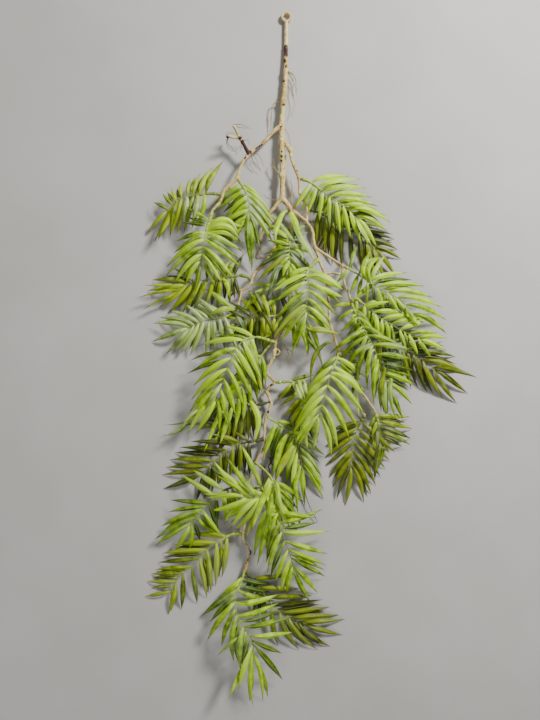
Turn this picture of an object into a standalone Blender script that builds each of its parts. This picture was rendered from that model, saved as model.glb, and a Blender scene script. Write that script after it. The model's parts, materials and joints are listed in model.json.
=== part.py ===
"""An artificial palm branch, two metres long, lying on a flat surface.

A bark-covered stem with a cast hanging eye at its top end forks into boughs and
twigs.  Each twig ends in a moulded plastic frond: a rib with a row of pointed
leaflets down each side.  The branch lies on leaflet tips and on its eye.

Frame: +Z up, +Y from the lowest fronds towards the hanging eye, metres.  The
origin is the centre of the whole branch's plan, on the surface it lies on.
"""
import math
from collections import namedtuple

import bpy
from mathutils import Matrix, Vector
from mathutils.bvhtree import BVHTree

# Driving dimensions of the pieces, in metres
EYE_OUTER_DIAMETER = 0.031
EYE_HOLE_DIAMETER = 0.019
EYE_HEIGHT = 0.012
EYE_CHAMFER = 0.0015
EYE_STEPS = 32
ROD_DIAMETER = 0.012
PETIOLE_THICKNESS = 0.0042
RIB_END_THICKNESS = 0.0026
LEAFLET_ROOT = 0.005
LEAFLET_WIDTH = 0.0100
LEAFLET_WIDTH_PER_LENGTH = 0.055
LEAFLET_RIDGE = 0.0022
SEAT_GAP = 0.0003
SEAT_STEP = 0.0001
SEAT_STEPS = 60
FOOT_LENGTH = 0.006
FOOT_REACH = 0.8
CLEARANCE = 0.0007
LEAST_RIB_HEIGHT = 0.006
LEAST_RIDGE_HEIGHT = 0.0012
END_LEAFLET_DEPTH = 0.0006
LAST_PAIR_BACK = 0.008

# Shares of the bare petiole where it has sections, if it is longer than this
BARE_SECTIONS = (0.35, 0.7)
LONG_BARE = 0.03

# A leaflet's ridge at its root: how far up the rib's side and out of it, in shares
ROOT_RISE = 0.45
ROOT_REACH = 0.35
FOOT_DEPTH = 0.5

# A leaflet's sections: share of its length, share of its widest width, and how far
# it still keeps the tilt of the rib at its root
LEAFLET_SECTIONS = ((0.22, 0.74, 0.6), (0.5, 1.0, 0.2), (0.78, 0.66, 0.0))
SHORT_LEAFLET_SECTIONS = ((0.3, 0.94, 0.5), (0.68, 0.82, 0.0))
SHORT_LEAFLET = 0.088

# Plan positions are read on a grid of 3 mm steps seen from straight above
GRID_STEP = 0.003
GRID_CENTRE = (270.0, 360.0)
SIGHT_HEIGHT = 1.56

# The eye's centre on the grid, and the gap from its rod to the middle of the bark's end
EYE_CENTRE = (286.2, 19.0)
ROD_TO_BARK = 0.00056

# Bark routes: grid x, grid y, height of the middle and thickness, both in mm
STEM_ROUTES = {
    "trunk": (
        (285.9, 45.7, 7.2, 13), (285.9, 57, 8.5, 14), (285.9, 68.9, 10, 15), (285.1, 84.2, 12, 13.5),
        (283.2, 99.5, 14, 16), (282.5, 111, 16, 14), (281.4, 125, 18, 17), (281.7, 139, 20, 16.5),
        (281.5, 152.8, 22, 16), (282.8, 165, 24, 15.5), (282.8, 175, 25, 19.5), (282.4, 186.5, 26, 14.5),
        (282.2, 198, 27, 18), (286, 203, 27, 14), (290.8, 208.7, 28, 12.5), (293.9, 220.4, 30, 11.5),
        (288.9, 230, 31, 10.5), (284, 241, 32, 10)),
    "left_bough": (
        (281.3, 125, 19, 15), (274, 131.4, 22, 14), (267.8, 138.3, 26, 13.5), (261.7, 144.4, 29, 13),
        (255.6, 148.3, 32, 11), (249, 153.6, 36, 12.5), (244.1, 160.5, 39, 11.5), (240.3, 168.1, 42, 10.5),
        (236.8, 178.3, 45, 12), (229.7, 185.3, 46, 10), (223.7, 190.6, 46, 9.5), (222, 197.8, 46, 8.5),
        (219.6, 202.9, 46, 8), (215.5, 206.9, 47, 7.5), (211.8, 211, 48, 6.5)),
    "snapped_twig": (
        (248.6, 154, 37, 8), (244.1, 145.2, 42, 7), (241.2, 139.3, 46, 7.5), (238.6, 135.8, 49, 5.5),
        (236.5, 130.7, 52, 6), (233.4, 125.7, 56, 5)),
    "snapped_twig_fork": (
        (240.9, 138.4, 46, 5.5), (235, 137.6, 50, 5.5), (229.5, 136.4, 54, 5), (226.6, 136.9, 56, 5.5)),
    "bough_spur": (
        (229.8, 186, 46, 6), (229.7, 190.6, 42, 5), (228.8, 194.7, 38, 4), (230.2, 198.5, 34, 4),
        (228.3, 204.9, 29, 3.2)),
    "dead_fork": (
        (282, 198.5, 27, 14), (275.5, 206, 26, 11), (268.3, 214.4, 24, 9.5), (265, 223, 22, 8.5),
        (263.3, 231, 19, 7.5), (260.3, 238, 16, 7), (256.6, 243, 14, 6)),
    "dead_fork_curl": (
        (259.8, 238.8, 16, 4), (261.3, 246, 12, 3.4), (258.3, 254.5, 8, 3.2), (259.5, 256.8, 6, 3.2),
        (264.5, 256.5, 5, 2.8)),
    "left_limb": (
        (284, 241, 32, 10), (279, 243.6, 33, 9), (274.4, 247.4, 34, 8.5), (271.3, 252, 34, 8),
        (268.3, 258.9, 35, 8), (262.9, 265.8, 36, 8), (255.2, 271.9, 37, 7.5), (252.6, 277, 38, 8),
        (251.2, 283.4, 38, 7), (247.6, 288, 38, 6.5), (242, 289.8, 38, 6.5), (233.8, 291.8, 34, 5.5),
        (229.5, 297.5, 28, 4)),
    "left_limb_twig": ((241.6, 290.4, 38, 6), (240.2, 297, 38, 5.5), (237.3, 308, 38, 5.5)),
    "mid_stem": (
        (285.2, 238.5, 32, 10), (288, 248, 34, 9.5), (290.5, 259, 36, 9.5), (291.5, 275, 36, 9.5),
        (290.3, 295, 36, 9.5), (287, 313, 36, 9.5), (283.2, 328.5, 35, 9), (279.1, 333.9, 34, 9),
        (276.2, 340, 33, 9.5), (274.9, 349, 31, 9), (273.7, 356.6, 29, 9), (269.9, 364.3, 27, 8.5),
        (265.4, 371.3, 25, 9), (269.5, 376.5, 25, 8.5), (275.1, 382.6, 25, 9), (269.5, 386.2, 24, 8),
        (266.4, 391.5, 23, 8), (269.1, 397, 23, 8.5), (271.5, 403.8, 22, 9.5), (269.1, 409.8, 22, 8),
        (265.8, 417, 21, 8.5), (264.6, 428, 20, 7.5), (264.5, 438, 20, 8), (265.2, 444, 20, 7),
        (262.8, 450, 21, 6.5), (258.4, 457.2, 22, 6.5), (255.1, 463, 23, 6)),
    "mid_stem_curl": (
        (273.9, 350.2, 31, 3.6), (278.5, 349.2, 33, 3.2), (279.7, 352.2, 34, 3), (277.6, 355, 32, 3),
        (274.2, 354.8, 29, 3.4)),
    "low_stem": (
        (255.6, 462.2, 23, 5.5), (252, 467.6, 24, 4), (252.7, 474.4, 25, 4.4), (249.2, 481, 27, 4),
        (247.9, 489.4, 28, 6.2), (246.3, 500, 26, 4.6), (247.2, 513.6, 23, 6.2), (244.3, 525.6, 20, 6.8),
        (242.4, 534.4, 18, 7.2), (243.2, 540.6, 17, 5), (248.9, 548.7, 16, 6), (250.8, 552, 16, 5.6),
        (249.2, 557.5, 15, 8), (246.8, 564.5, 14, 9), (244.6, 571, 13, 9)),
    "right_bough": (
        (282.9, 138, 20, 15), (286.2, 144.4, 22, 12.5), (289.8, 149.4, 25, 12), (290.6, 154, 27, 10),
        (291.6, 160, 29, 9), (293.9, 166, 31, 8.5), (296.9, 173, 33, 8), (299.2, 178.4, 35, 8.5),
        (299.2, 187, 36, 7.5), (299.4, 193.4, 36, 7.5), (301.6, 198.3, 35, 7.5), (305.3, 203.2, 32, 7),
        (307.2, 210, 28, 6.5), (306.8, 216, 28, 6.5), (307.2, 223, 33, 7)),
    "bough_tie": ((301.7, 198.4, 35, 6), (297, 203.5, 33, 5.5), (292, 209.2, 29, 6)),
    "right_limb": (
        (290.8, 208.7, 28, 11), (298.4, 215.1, 30, 9.5), (306.5, 222, 33, 9.5), (311.6, 228.4, 35, 9),
        (313, 234, 37, 9), (313.7, 241.6, 38, 8.5), (315, 248, 40, 10), (325.9, 254.9, 44, 7.5),
        (335.1, 261, 48, 7), (343.5, 266.3, 52, 6)),
    "right_limb_twig": (
        (343, 266, 52, 6), (342.2, 273.5, 50, 5.5), (345, 285, 46, 5), (349, 294.5, 44, 5),
        (351.6, 302.5, 44, 5.5)),
    "right_drop": (
        (315, 247.6, 40, 9), (318.8, 259, 42, 8), (321.8, 267.1, 44, 7.5), (325.2, 274, 46, 7.5),
        (328, 290, 48, 7), (328.6, 306, 50, 6.5), (329.6, 322, 52, 6.5), (332.1, 330.4, 54, 6.5),
        (335.2, 340, 55, 6.5), (338.6, 351, 56, 7), (344.5, 363, 54, 6), (347.2, 372, 52, 5.5),
        (351.8, 382.5, 48, 5.5), (358.3, 389.3, 45, 5), (363.4, 394.2, 43, 5), (369.7, 403, 40, 5),
        (375.6, 411.9, 36, 5)),
    "right_drop_fork": (
        (344.9, 364.8, 54, 5.5), (343.7, 376.5, 50, 4.5), (344.6, 386.8, 46, 4.5), (348.7, 395.4, 42, 4.5),
        (356.4, 404.2, 38, 4.5), (365, 415.6, 32, 4.8)),
    "right_drop_side": ((325.4, 274.4, 46, 5.5), (333, 272.6, 46, 4.5), (341, 274.6, 48, 4.5)),
}

# Stems that reach this thickness in mm have more sides
THICK_STEM = 12.0
THICK_STEM_SIDES = 8
THIN_STEM_SIDES = 6

# Fan: the leaflets down one side, from the rib's foot to its end, as plan headings
# in degrees (0 along +X, 90 along +Y) and plan lengths in grid steps
Fan = namedtuple("Fan", "headings lengths")

# Frond: its tone, number of leaflet pairs, bare foot of the rib in mm, rib route
# (grid x, grid y, height in mm), left and right fans, and end leaflet
Frond = namedtuple("Frond", "name tone pairs bare route left right tip")

# Lowest frond first: each later one lies over those before it
FRONDS = (
    Frond("frond_left_8", "shade", 6, 40,
          ((270.9, 401.6, 22), (264, 403.4, 23), (258, 404.6, 24), (250, 406.4, 24), (243, 409.5, 22),
           (236, 414, 18), (229, 420, 13), (224, 427, 9)),
          Fan((272, 268, 262, 256, 248), (39, 34, 34, 32, 32)),
          Fan((135, 150, 165, 190), (18, 20, 22, 26)), (225, 30)),
    Frond("frond_left_9", "shade", 8, 45,
          ((264.6, 438.5, 20), (257.5, 440.5, 21), (251.5, 441.5, 22), (241.8, 443.3, 23),
           (232.1, 446.4, 23), (224.8, 451.8, 22), (215.1, 460.3, 19), (207.9, 467.6, 15),
           (200.6, 473.4, 11)),
          Fan((272, 266, 262, 262, 264, 262, 256), (36, 34, 34, 34, 34, 34, 32)),
          Fan((150, 166, 178, 178, 181, 186), (20, 36, 48, 46, 44, 42)), (203, 42)),
    Frond("frond_low_4", "shade", 7, 30,
          ((244.9, 570.8, 13), (250, 576.7, 14), (255.1, 582, 15), (259.8, 588.5, 17), (264.4, 595, 18),
           (269.9, 602.4, 19), (277.3, 609.8, 19), (284.7, 616.2, 18), (293, 619, 15), (302, 622, 12)),
          Fan((4, -5, -2, 3, 3, 0, -12), (42, 40, 46, 50, 50, 50, 46)),
          Fan((235, 258, 268, 278, 302, 322, 332), (14, 28, 34, 44, 45, 45, 42)), (-20, 44)),
    Frond("frond_right_2", "shade", 8, 30,
          ((307, 209, 27), (313.5, 211.2, 25), (320.8, 213.4, 24), (329, 218.2, 23), (337.1, 224.5, 23),
           (349.4, 231, 23), (357.6, 234.5, 22), (366.7, 240.5, 19), (376, 249.5, 14)),
          Fan((4, -2, -8, -14, -30, -40), (42, 48, 48, 40, 34, 30)),
          Fan((266, 268, 269, 272, 276, 284, 292), (35, 38, 44, 36, 38, 40, 38)), (-52, 34)),
    Frond("frond_right_5", "shade", 8, 60,
          ((350.6, 299.2, 44), (352.6, 306.5, 36), (357.5, 315.5, 28), (366, 327, 24), (377, 337, 23),
           (395, 345.5, 23), (409.8, 350.5, 22), (418, 357, 20), (426.5, 363, 16), (435.3, 369.4, 11)),
          Fan((22, 16, 9, 6, -2, -14, -25), (30, 36, 41, 43, 44, 45, 40)),
          Fan((262, 268, 281, 283, 289, 298, 310), (30, 34, 38, 43, 43, 44, 44)), (-36, 42)),
    Frond("frond_right_8", "shade", 7, 20,
          ((364.9, 415.4, 32), (361.5, 421, 29), (357.6, 429, 26), (354.6, 439, 23), (353, 449, 20),
           (351.7, 459, 16), (351.2, 468, 12)),
          Fan((-42, -46, -49, -55, -60, -74), (46, 48, 46, 44, 43, 41)),
          Fan((200, 212, 219, 222, 232, 240, 254), (34, 37, 38, 37, 37, 36, 38)), (262, 40)),
    Frond("frond_left_1", "olive", 8, 45,
          ((221.9, 195.2, 46), (215, 193.6, 47), (209.4, 193.7, 49), (195, 195.5, 52), (183.9, 197, 50),
           (174, 203.5, 44), (166.5, 212, 34)),
          Fan((256, 252, 250, 248, 240, 228), (29, 34, 36, 38, 40, 36)),
          Fan((61, 72, 82, 100, 120, 150), (40, 28, 20, 16, 16, 18)), (222, 28)),
    Frond("frond_left_2", "fresh", 6, 20,
          ((237.4, 178.6, 45), (240.3, 182.7, 48), (244.1, 188.8, 52), (247.2, 194.9, 56),
           (248.7, 201.8, 58), (249.1, 207.9, 58), (248, 214.8, 55), (245.7, 219.6, 50)),
          Fan((-38, -42, -45, -48, -52, -86), (28, 34, 36, 36, 38, 50)),
          Fan((208, 210, 220, 222, 205, 222), (36, 34, 30, 28, 33, 30)), (236, 30)),
    Frond("frond_left_4", "olive", 8, 50,
          ((251.4, 280, 38), (246, 276.4, 40), (241, 275.3, 42), (232, 276.8, 43), (217.8, 278.4, 43),
           (206.5, 279.4, 42), (193.3, 282.4, 38), (184.9, 285, 33)),
          Fan((284, 272, 256, 244, 240, 228, 215), (22, 28, 32, 36, 38, 40, 38)),
          Fan((14, 34, 54, 90, 135, 172), (26, 22, 23, 20, 24, 38)), (186, 40)),
    Frond("frond_left_5", "pale", 8, 45,
          ((237.6, 307, 38), (233, 313, 40), (228, 315.5, 42), (218.8, 318.6, 43), (205.5, 320.6, 42),
           (195.3, 324.3, 38), (187.1, 328.4, 32)),
          Fan((290, 278, 268, 263, 245, 237, 230, 212), (38, 30, 33, 36, 38, 35, 34, 36)),
          Fan((150, 137, 140, 146, 138, 158, 168, 174), (30, 31, 26, 22, 24, 34, 37, 38)), (199, 40)),
    Frond("frond_left_7", "fresh", 7, 60,
          ((276.3, 338.8, 33), (270.7, 343.6, 30), (260.7, 356.6, 29), (252, 370, 30), (245, 382, 29),
           (238.5, 394, 26), (233, 406, 20)),
          Fan((-82, -78, -80, -86, -94, -106), (30, 30, 32, 34, 34, 34)),
          Fan((200, 214, 225, 235, 244, 250), (24, 30, 36, 44, 48, 46)), (252, 40)),
    Frond("frond_mid_3", "olive", 7, 30,
          ((286.8, 313.6, 36), (282, 315, 40), (276, 315.8, 44), (268, 316.5, 50), (257, 317.5, 52),
           (247, 319.5, 48), (239, 323, 40)),
          Fan((250, 260, 266, 264, 252, 238), (36, 34, 30, 28, 26, 24)),
          Fan((96, 112, 124, 140, 152, 165), (24, 34, 30, 28, 26, 24)), (205, 26)),
    Frond("frond_mid_5", "olive", 7, 45,
          ((275, 382.4, 25), (280.5, 382, 28), (286, 381.6, 31), (293, 382.4, 34), (298, 388, 33),
           (301, 398, 29), (302.5, 410, 24), (303, 420, 18)),
          Fan((-52, -60, -62, -68, -74), (24, 26, 30, 32, 32)),
          Fan((204, 210, 222, 240, 257, 262), (24, 22, 24, 28, 32, 32)), (-92, 30)),
    Frond("frond_mid_4", "fresh", 7, 30,
          ((266.3, 415.9, 21), (271, 419.6, 22), (276.7, 422.8, 23), (285.9, 429.7, 24),
           (293.6, 437.3, 24), (296.8, 446, 22), (299, 455, 19), (300.6, 464, 14)),
          Fan((-44, -56, -62, -68, -72, -76), (20, 28, 34, 40, 45, 46)),
          Fan((250, 252, 250, 254, 260, 267), (40, 42, 42, 42, 42, 38)), (-84, 44)),
    Frond("frond_right_4", "bright", 8, 15,
          ((351.4, 301.6, 44), (354.5, 299, 50), (358.5, 299.8, 54), (364.9, 304.9, 57),
           (374.1, 313.1, 59), (383.3, 320.2, 58), (393.5, 325.8, 54), (403, 331.4, 48),
           (413.9, 336, 40), (421, 339, 34)),
          Fan((14, 8, -2, 4, 10, 18, 2, -12), (38, 38, 36, 40, 38, 30, 30, 31)),
          Fan((262, 272, 278, 284, 296, 305), (26, 27, 27, 25, 24, 24)), (-22, 30)),
    Frond("frond_right_9", "olive", 6, 10,
          ((375.5, 411.8, 36), (376.8, 418, 37), (379, 427, 35), (381.3, 436, 30), (382.8, 445, 24)),
          Fan((-4, -14, -22, -24, -50, -66), (36, 38, 37, 34, 36, 36)),
          Fan((248, 260, 265, 270, 282), (20, 22, 26, 34, 40)), (-78, 36)),
    Frond("frond_left_11", "olive", 8, 45,
          ((242.5, 534.2, 18), (238, 533.4, 22), (233.3, 534, 26), (224.8, 537.8, 31), (212.7, 545.1, 34),
           (204.2, 552.4, 33), (197, 560.9, 30), (188.5, 569.4, 25), (180, 575.4, 20),
           (173.9, 583.9, 14), (170.3, 593.6, 9)),
          Fan((262, 268, 275, 280, 270, 256, 256), (44, 48, 46, 42, 40, 38, 30)),
          Fan((188, 189, 190, 192, 188, 184, 195), (40, 44, 48, 40, 34, 30, 28)), (262, 28)),
    Frond("frond_left_10", "fresh", 7, 50,
          ((249.2, 481.3, 27), (243.5, 483.6, 34), (236, 485.6, 42), (229.7, 488.2, 48),
           (218.8, 493, 55), (210, 502.5, 57), (203, 509.5, 56), (196.5, 517, 50), (190, 526, 42)),
          Fan((276, 274, 270, 285, 304, 312, 262), (34, 34, 32, 32, 35, 26, 30)),
          Fan((140, 149, 151, 180, 210, 221, 215), (30, 38, 42, 40, 48, 50, 46)), (240, 34)),
    Frond("frond_left_3", "bright", 7, 30,
          ((212.3, 210.4, 48), (210.7, 217.5, 55), (208.4, 224, 62), (206.3, 230, 68), (204.5, 238.6, 72),
           (203, 247, 70), (201.6, 256, 62), (201.2, 264, 50)),
          Fan((-10, -22, -24, -36, -46, -56, -62), (34, 38, 38, 44, 44, 34, 28)),
          Fan((150, 168, 192, 212, 216, 225, 234), (25, 26, 30, 46, 46, 40, 28)), (258, 30)),
    Frond("frond_low_1", "bright", 5, 50,
          ((247.8, 490.5, 28), (252, 489, 38), (257, 487.4, 50), (262, 488.5, 60), (263.5, 493, 67),
           (259, 497.5, 71), (251.5, 498.8, 74), (244, 496, 74)),
          Fan((250, 240, 228, 215, 202), (48, 46, 44, 40, 40)),
          Fan((-75, 97, 130, 150, 165), (22, 50, 50, 44, 42)), (178, 42)),
    Frond("frond_low_3", "bright", 8, 20,
          ((244.4, 571.5, 13), (242, 578.8, 20), (238.7, 585.7, 30), (236.2, 594, 40), (235.7, 602.4, 48),
           (237.6, 609.8, 54), (241.3, 616.6, 58), (245.9, 624.6, 60), (250.5, 632, 58),
           (252.8, 638.4, 54), (253.6, 646, 47), (252.4, 653.2, 38)),
          Fan((-18, -24, 4, 10, 4, -4, -60, -80), (30, 40, 44, 42, 49, 43, 52, 54)),
          Fan((266, 270, 270, 268, 264, 254, 240), (46, 52, 54, 52, 48, 44, 44)), (267, 55)),
    Frond("frond_low_2", "bright", 10, 75,
          ((255, 462.4, 23), (259.5, 465.8, 34), (267.9, 473.5, 50), (272, 480, 60), (275, 492, 70),
           (277.5, 506, 74), (280, 520, 74), (282.8, 534, 68), (286.6, 545.8, 60), (290.4, 555, 50),
           (293.8, 569, 36)),
          Fan((-64, -70, -64, 18, 8, -20, -27, -32, -52), (40, 48, 38, 36, 48, 46, 44, 42, 40)),
          Fan((247, 268, 256, 255, 252, 251, 251, 254, 260), (50, 40, 42, 46, 46, 42, 40, 38, 32)),
          (-66, 42)),
    Frond("frond_right_1", "bright", 8, 35,
          ((299.2, 178.6, 35), (304, 179.7, 40), (309, 181.9, 45), (314.7, 185.5, 50), (319.8, 189.6, 55),
           (328, 195.7, 61), (337.1, 201.8, 64), (345.3, 206.9, 63), (351.4, 211.4, 58),
           (358, 218.5, 50)),
          Fan((15, 16, 8, 1, -6, -16, -36), (40, 47, 44, 42, 43, 44, 36)),
          Fan((237, 252, 268, 277, 284, 292, 300), (30, 28, 27, 31, 32, 32, 33)), (-52, 34)),
    Frond("frond_right_3", "bright", 8, 15,
          ((343.2, 266.1, 52), (349, 269, 57), (354.5, 272, 61), (362, 277, 65), (371.8, 284.2, 68),
           (382, 289.6, 67), (394.3, 295.9, 62), (406.5, 305.9, 52), (413.7, 316, 42)),
          Fan((72, 64, 14, 3, -8, -14, -23, -27), (28, 30, 42, 50, 48, 48, 46, 42)),
          Fan((228, 250, 280, 300, 310, 316, 322), (18, 20, 22, 22, 24, 26, 30)), (-40, 30)),
    Frond("frond_right_6", "fresh", 9, 25,
          ((351.7, 302.9, 44), (353.6, 311, 46), (357, 320, 48), (362.5, 331, 49), (368.4, 342, 48),
           (373.6, 353, 46), (377.8, 365, 42), (381.6, 375, 36), (385.6, 384, 28)),
          Fan((-52, -46, -20, -6, -8, -14, -40), (34, 36, 36, 39, 38, 38, 36)),
          Fan((214, 222, 236, 256, 266, 270, 288, 296), (20, 20, 22, 26, 32, 34, 38, 42)), (-64, 40)),
    Frond("frond_left_6", "bright", 8, 75,
          ((275.4, 342.5, 33), (268.4, 340.2, 38), (258.4, 337.6, 46), (248, 338.5, 56),
           (239.5, 345, 64), (233.5, 353.5, 70), (231, 361, 72), (226.9, 371.2, 72), (222.9, 380.4, 68),
           (219.5, 390, 60), (216.5, 400, 48)),
          Fan((-80, -63, -60, -66, -72, -80, -90), (34, 44, 42, 40, 40, 37, 34)),
          Fan((176, 196, 212, 219, 223, 230, 233), (30, 44, 46, 46, 50, 50, 46)), (238, 40)),
    Frond("frond_mid_2", "fresh", 6, 15,
          ((289.4, 229.6, 31), (290.6, 232, 40), (290.4, 237, 50), (289.6, 243, 58), (289.2, 250, 63),
           (289.2, 258, 66), (289.8, 266, 66)),
          Fan((80, 45, -20, -40, -55, -70), (22, 20, 24, 33, 30, 26)),
          Fan((98, 126, 150, 188, 222, 238, 252), (26, 27, 18, 28, 42, 36, 26)), (275, 22)),
    Frond("frond_mid_1", "bright", 8, 45,
          ((318.6, 258.4, 42), (314, 263.6, 52), (309.8, 267.4, 64), (306.8, 273.5, 74), (307, 282, 82),
           (307.3, 291.8, 86), (306.7, 300, 86), (306.5, 308, 82), (306.5, 316, 76), (306.2, 325, 64)),
          Fan((-26, -18, -35, -42, -47, -30, -66), (42, 41, 39, 36, 34, 34, 35)),
          Fan((209, 207, 210, 222, 226, 228, 247, 262), (40, 38, 36, 40, 42, 38, 34, 26)), (275, 30)),
    Frond("frond_right_7", "bright", 7, 15,
          ((338.4, 350.5, 56), (337, 357.5, 64), (334.2, 365, 72), (331.1, 372, 78), (329.4, 379.6, 82),
           (327.3, 386.5, 84), (325, 394.1, 84), (322.7, 401.8, 80), (321, 408.5, 75), (319, 417, 66)),
          Fan((-34, -38, -48, -54, -60, -70, -74), (36, 42, 52, 54, 52, 49, 46)),
          Fan((226, 234, 238, 239, 240, 246), (32, 42, 54, 54, 48, 40)), (261, 36)),
)

# What a leaflet may try until it is clear: how far its tip hangs below its root
# and how high it arches, in shares of its length, turns in degrees, and shares of
# its full length.  A rib may try the lifts, in mm, at its middle.
DROPS = (0.30, 0.18, 0.42, 0.06, 0.55, -0.06, -0.2, -0.35)
ARCHES = (0.10, 0.19, 0.30)
TURNS = (0, 5, -5, 10, -10, 16, -16, 24, -24)
SHARES = (1.0, 0.85, 0.7, 0.55, 0.4)
NARROWEST_ANGLE = 20.0
WIDEST_ANGLE = 122.0
MOST_TWIST = math.radians(45)
MOST_ROOT_TURN = math.radians(68)

# A leaflet's curve in plan: how far out it first runs, in shares of its length, and
# how much more that run follows the root's own way than the leaflet's heading
FIRST_RUN = 0.3
FIRST_RUN_OUTWARD = 0.5
ARCH_LEAN = 0.35
MOST_ROLL = math.radians(14)
ROLL_STEP = 2.399
LIFTS = (0, 6, -6, 12, -12, 18, 24, 30, 38, 46)
RIB_FALL = 0.8

# Base colour, roughness and metallic value of each finish
FINISHES = {
    "eye": ((0.80, 0.74, 0.60, 1.0), 0.45, 0.0),
    "bark": ((0.62, 0.50, 0.29, 1.0), 0.78, 0.0),
    "bright": ((0.30, 0.50, 0.06, 1.0), 0.50, 0.0),
    "fresh": ((0.22, 0.38, 0.05, 1.0), 0.50, 0.0),
    "olive": ((0.17, 0.26, 0.05, 1.0), 0.55, 0.0),
    "pale": ((0.30, 0.38, 0.14, 1.0), 0.55, 0.0),
    "shade": ((0.11, 0.17, 0.03, 1.0), 0.55, 0.0),
}


def clear_scene():
    for thing in list(bpy.data.objects):
        bpy.data.objects.remove(thing, do_unlink=True)


def finish(name):
    material = bpy.data.materials.get(name) or bpy.data.materials.new(name)
    colour, roughness, metallic = FINISHES[name]
    material.use_nodes = True
    shader = material.node_tree.nodes["Principled BSDF"]
    shader.inputs["Base Color"].default_value = colour
    shader.inputs["Roughness"].default_value = roughness
    shader.inputs["Metallic"].default_value = metallic
    material.diffuse_color = colour
    return material


def on_grid(grid_x, grid_y, height):
    """The point seen at a grid place from straight above, at a height in metres."""
    nearer = (SIGHT_HEIGHT - height) / SIGHT_HEIGHT
    x = (grid_x - GRID_CENTRE[0]) * GRID_STEP * nearer
    y = (GRID_CENTRE[1] - grid_y) * GRID_STEP * nearer
    return Vector((x, y, height))


def make_object(name, vertices, faces, material):
    mesh = bpy.data.meshes.new(name)
    mesh.from_pydata([tuple(v) for v in vertices], [], faces)
    mesh.validate()
    part = bpy.data.objects.new(name, mesh)
    bpy.context.scene.collection.objects.link(part)
    part.data.materials.append(material)
    return part


def tangents(points):
    last = len(points) - 1
    return [(points[min(i + 1, last)] - points[max(i - 1, 0)]).normalized() for i in range(last + 1)]


def tube(points, radii, sides):
    """Vertices and faces of a closed tube along points."""
    vertices = []
    faces = []
    for point, along, radius in zip(points, tangents(points), radii):
        level = Vector((0, 0, 1)).cross(along)
        level = level.normalized() if level.length > 0.05 else Vector((1, 0, 0))
        upward = along.cross(level)
        for k in range(sides):
            turn = 2 * math.pi * (k + 0.5) / sides
            vertices.append(point + radius * (math.cos(turn) * level + math.sin(turn) * upward))
    for i in range(len(points) - 1):
        for k in range(sides):
            a = i * sides + k
            b = i * sides + (k + 1) % sides
            faces.append((a, b, b + sides, a + sides))
    end = (len(points) - 1) * sides
    faces.append(tuple(reversed(range(sides))))
    faces.append(tuple(range(end, end + sides)))
    return vertices, faces


def join_all(base, others):
    """Unite base with the other objects by one Boolean and remove them."""
    collection = bpy.data.collections.new(base.name + "_pieces")
    for other in others:
        collection.objects.link(other)
    union = base.modifiers.new("union", "BOOLEAN")
    union.operation = "UNION"
    union.operand_type = "COLLECTION"
    union.collection = collection
    union.solver = "EXACT"
    bpy.context.view_layer.update()
    graph = bpy.context.evaluated_depsgraph_get()
    mesh = bpy.data.meshes.new_from_object(base.evaluated_get(graph))
    base.modifiers.clear()
    base.data = mesh
    for other in others:
        bpy.data.objects.remove(other, do_unlink=True)
    bpy.data.collections.remove(collection)


def shade_round(part, degrees=40):
    part.data.shade_smooth()
    part.data.set_sharp_from_angle(angle=math.radians(degrees))


def build_eye():
    centre = on_grid(*EYE_CENTRE, 0)
    inner = EYE_HOLE_DIAMETER / 2
    outer = EYE_OUTER_DIAMETER / 2
    cut = EYE_CHAMFER
    profile = (
        (inner + cut, 0), (outer - cut, 0), (outer, cut), (outer, EYE_HEIGHT - cut),
        (outer - cut, EYE_HEIGHT), (inner + cut, EYE_HEIGHT), (inner, EYE_HEIGHT - cut), (inner, cut))
    vertices = []
    for i in range(EYE_STEPS):
        turn = 2 * math.pi * i / EYE_STEPS
        for radius, height in profile:
            vertices.append(centre + Vector((radius * math.cos(turn), radius * math.sin(turn), height)))
    count = len(profile)
    faces = []
    for i in range(EYE_STEPS):
        following = (i + 1) % EYE_STEPS
        for k in range(count):
            beside = (k + 1) % count
            faces.append((i * count + k, following * count + k,
                          following * count + beside, i * count + beside))
    eye = make_object("hanging_eye", vertices, faces, finish("eye"))
    sunk = (inner + outer) / 2
    start = centre + Vector((0, -sunk, ROD_DIAMETER / 2))
    grid_x, grid_y, height, _ = STEM_ROUTES["trunk"][0]
    end = on_grid(grid_x, grid_y, height / 1000) + Vector((0, ROD_TO_BARK, 0))
    end.z = start.z
    rod = make_object("rod", *tube([start, end], [ROD_DIAMETER / 2] * 2, 12), finish("eye"))
    join_all(eye, [rod])
    shade_round(eye)
    return eye


def build_branch():
    pieces = []
    for name, route in STEM_ROUTES.items():
        points = [on_grid(x, y, height / 1000) for x, y, height, _ in route]
        radii = [thickness / 2000 for _, _, _, thickness in route]
        sides = THICK_STEM_SIDES if max(p[3] for p in route) >= THICK_STEM else THIN_STEM_SIDES
        pieces.append(make_object(name, *tube(points, radii, sides), finish("bark")))
    branch = pieces[0]
    join_all(branch, pieces[1:])
    branch.name = "branch"
    branch.data.name = "branch"
    shade_round(branch, 50)
    return branch


def smooth_route(points, steps=6):
    """Points of a smooth curve through the route's points."""
    ends = [points[0] * 2 - points[1]] + list(points) + [points[-1] * 2 - points[-2]]
    curve = []
    for i in range(1, len(ends) - 2):
        p0, p1, p2, p3 = ends[i - 1:i + 3]
        for k in range(steps):
            t = k / steps
            curve.append(0.5 * (2 * p1 + (p2 - p0) * t + (2 * p0 - 5 * p1 + 4 * p2 - p3) * t * t
                                + (3 * p1 - p0 - 3 * p2 + p3) * t ** 3))
    curve.append(points[-1].copy())
    return curve


def lengths_along(curve):
    total = [0.0]
    for a, b in zip(curve, curve[1:]):
        total.append(total[-1] + (b - a).length)
    return total


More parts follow.
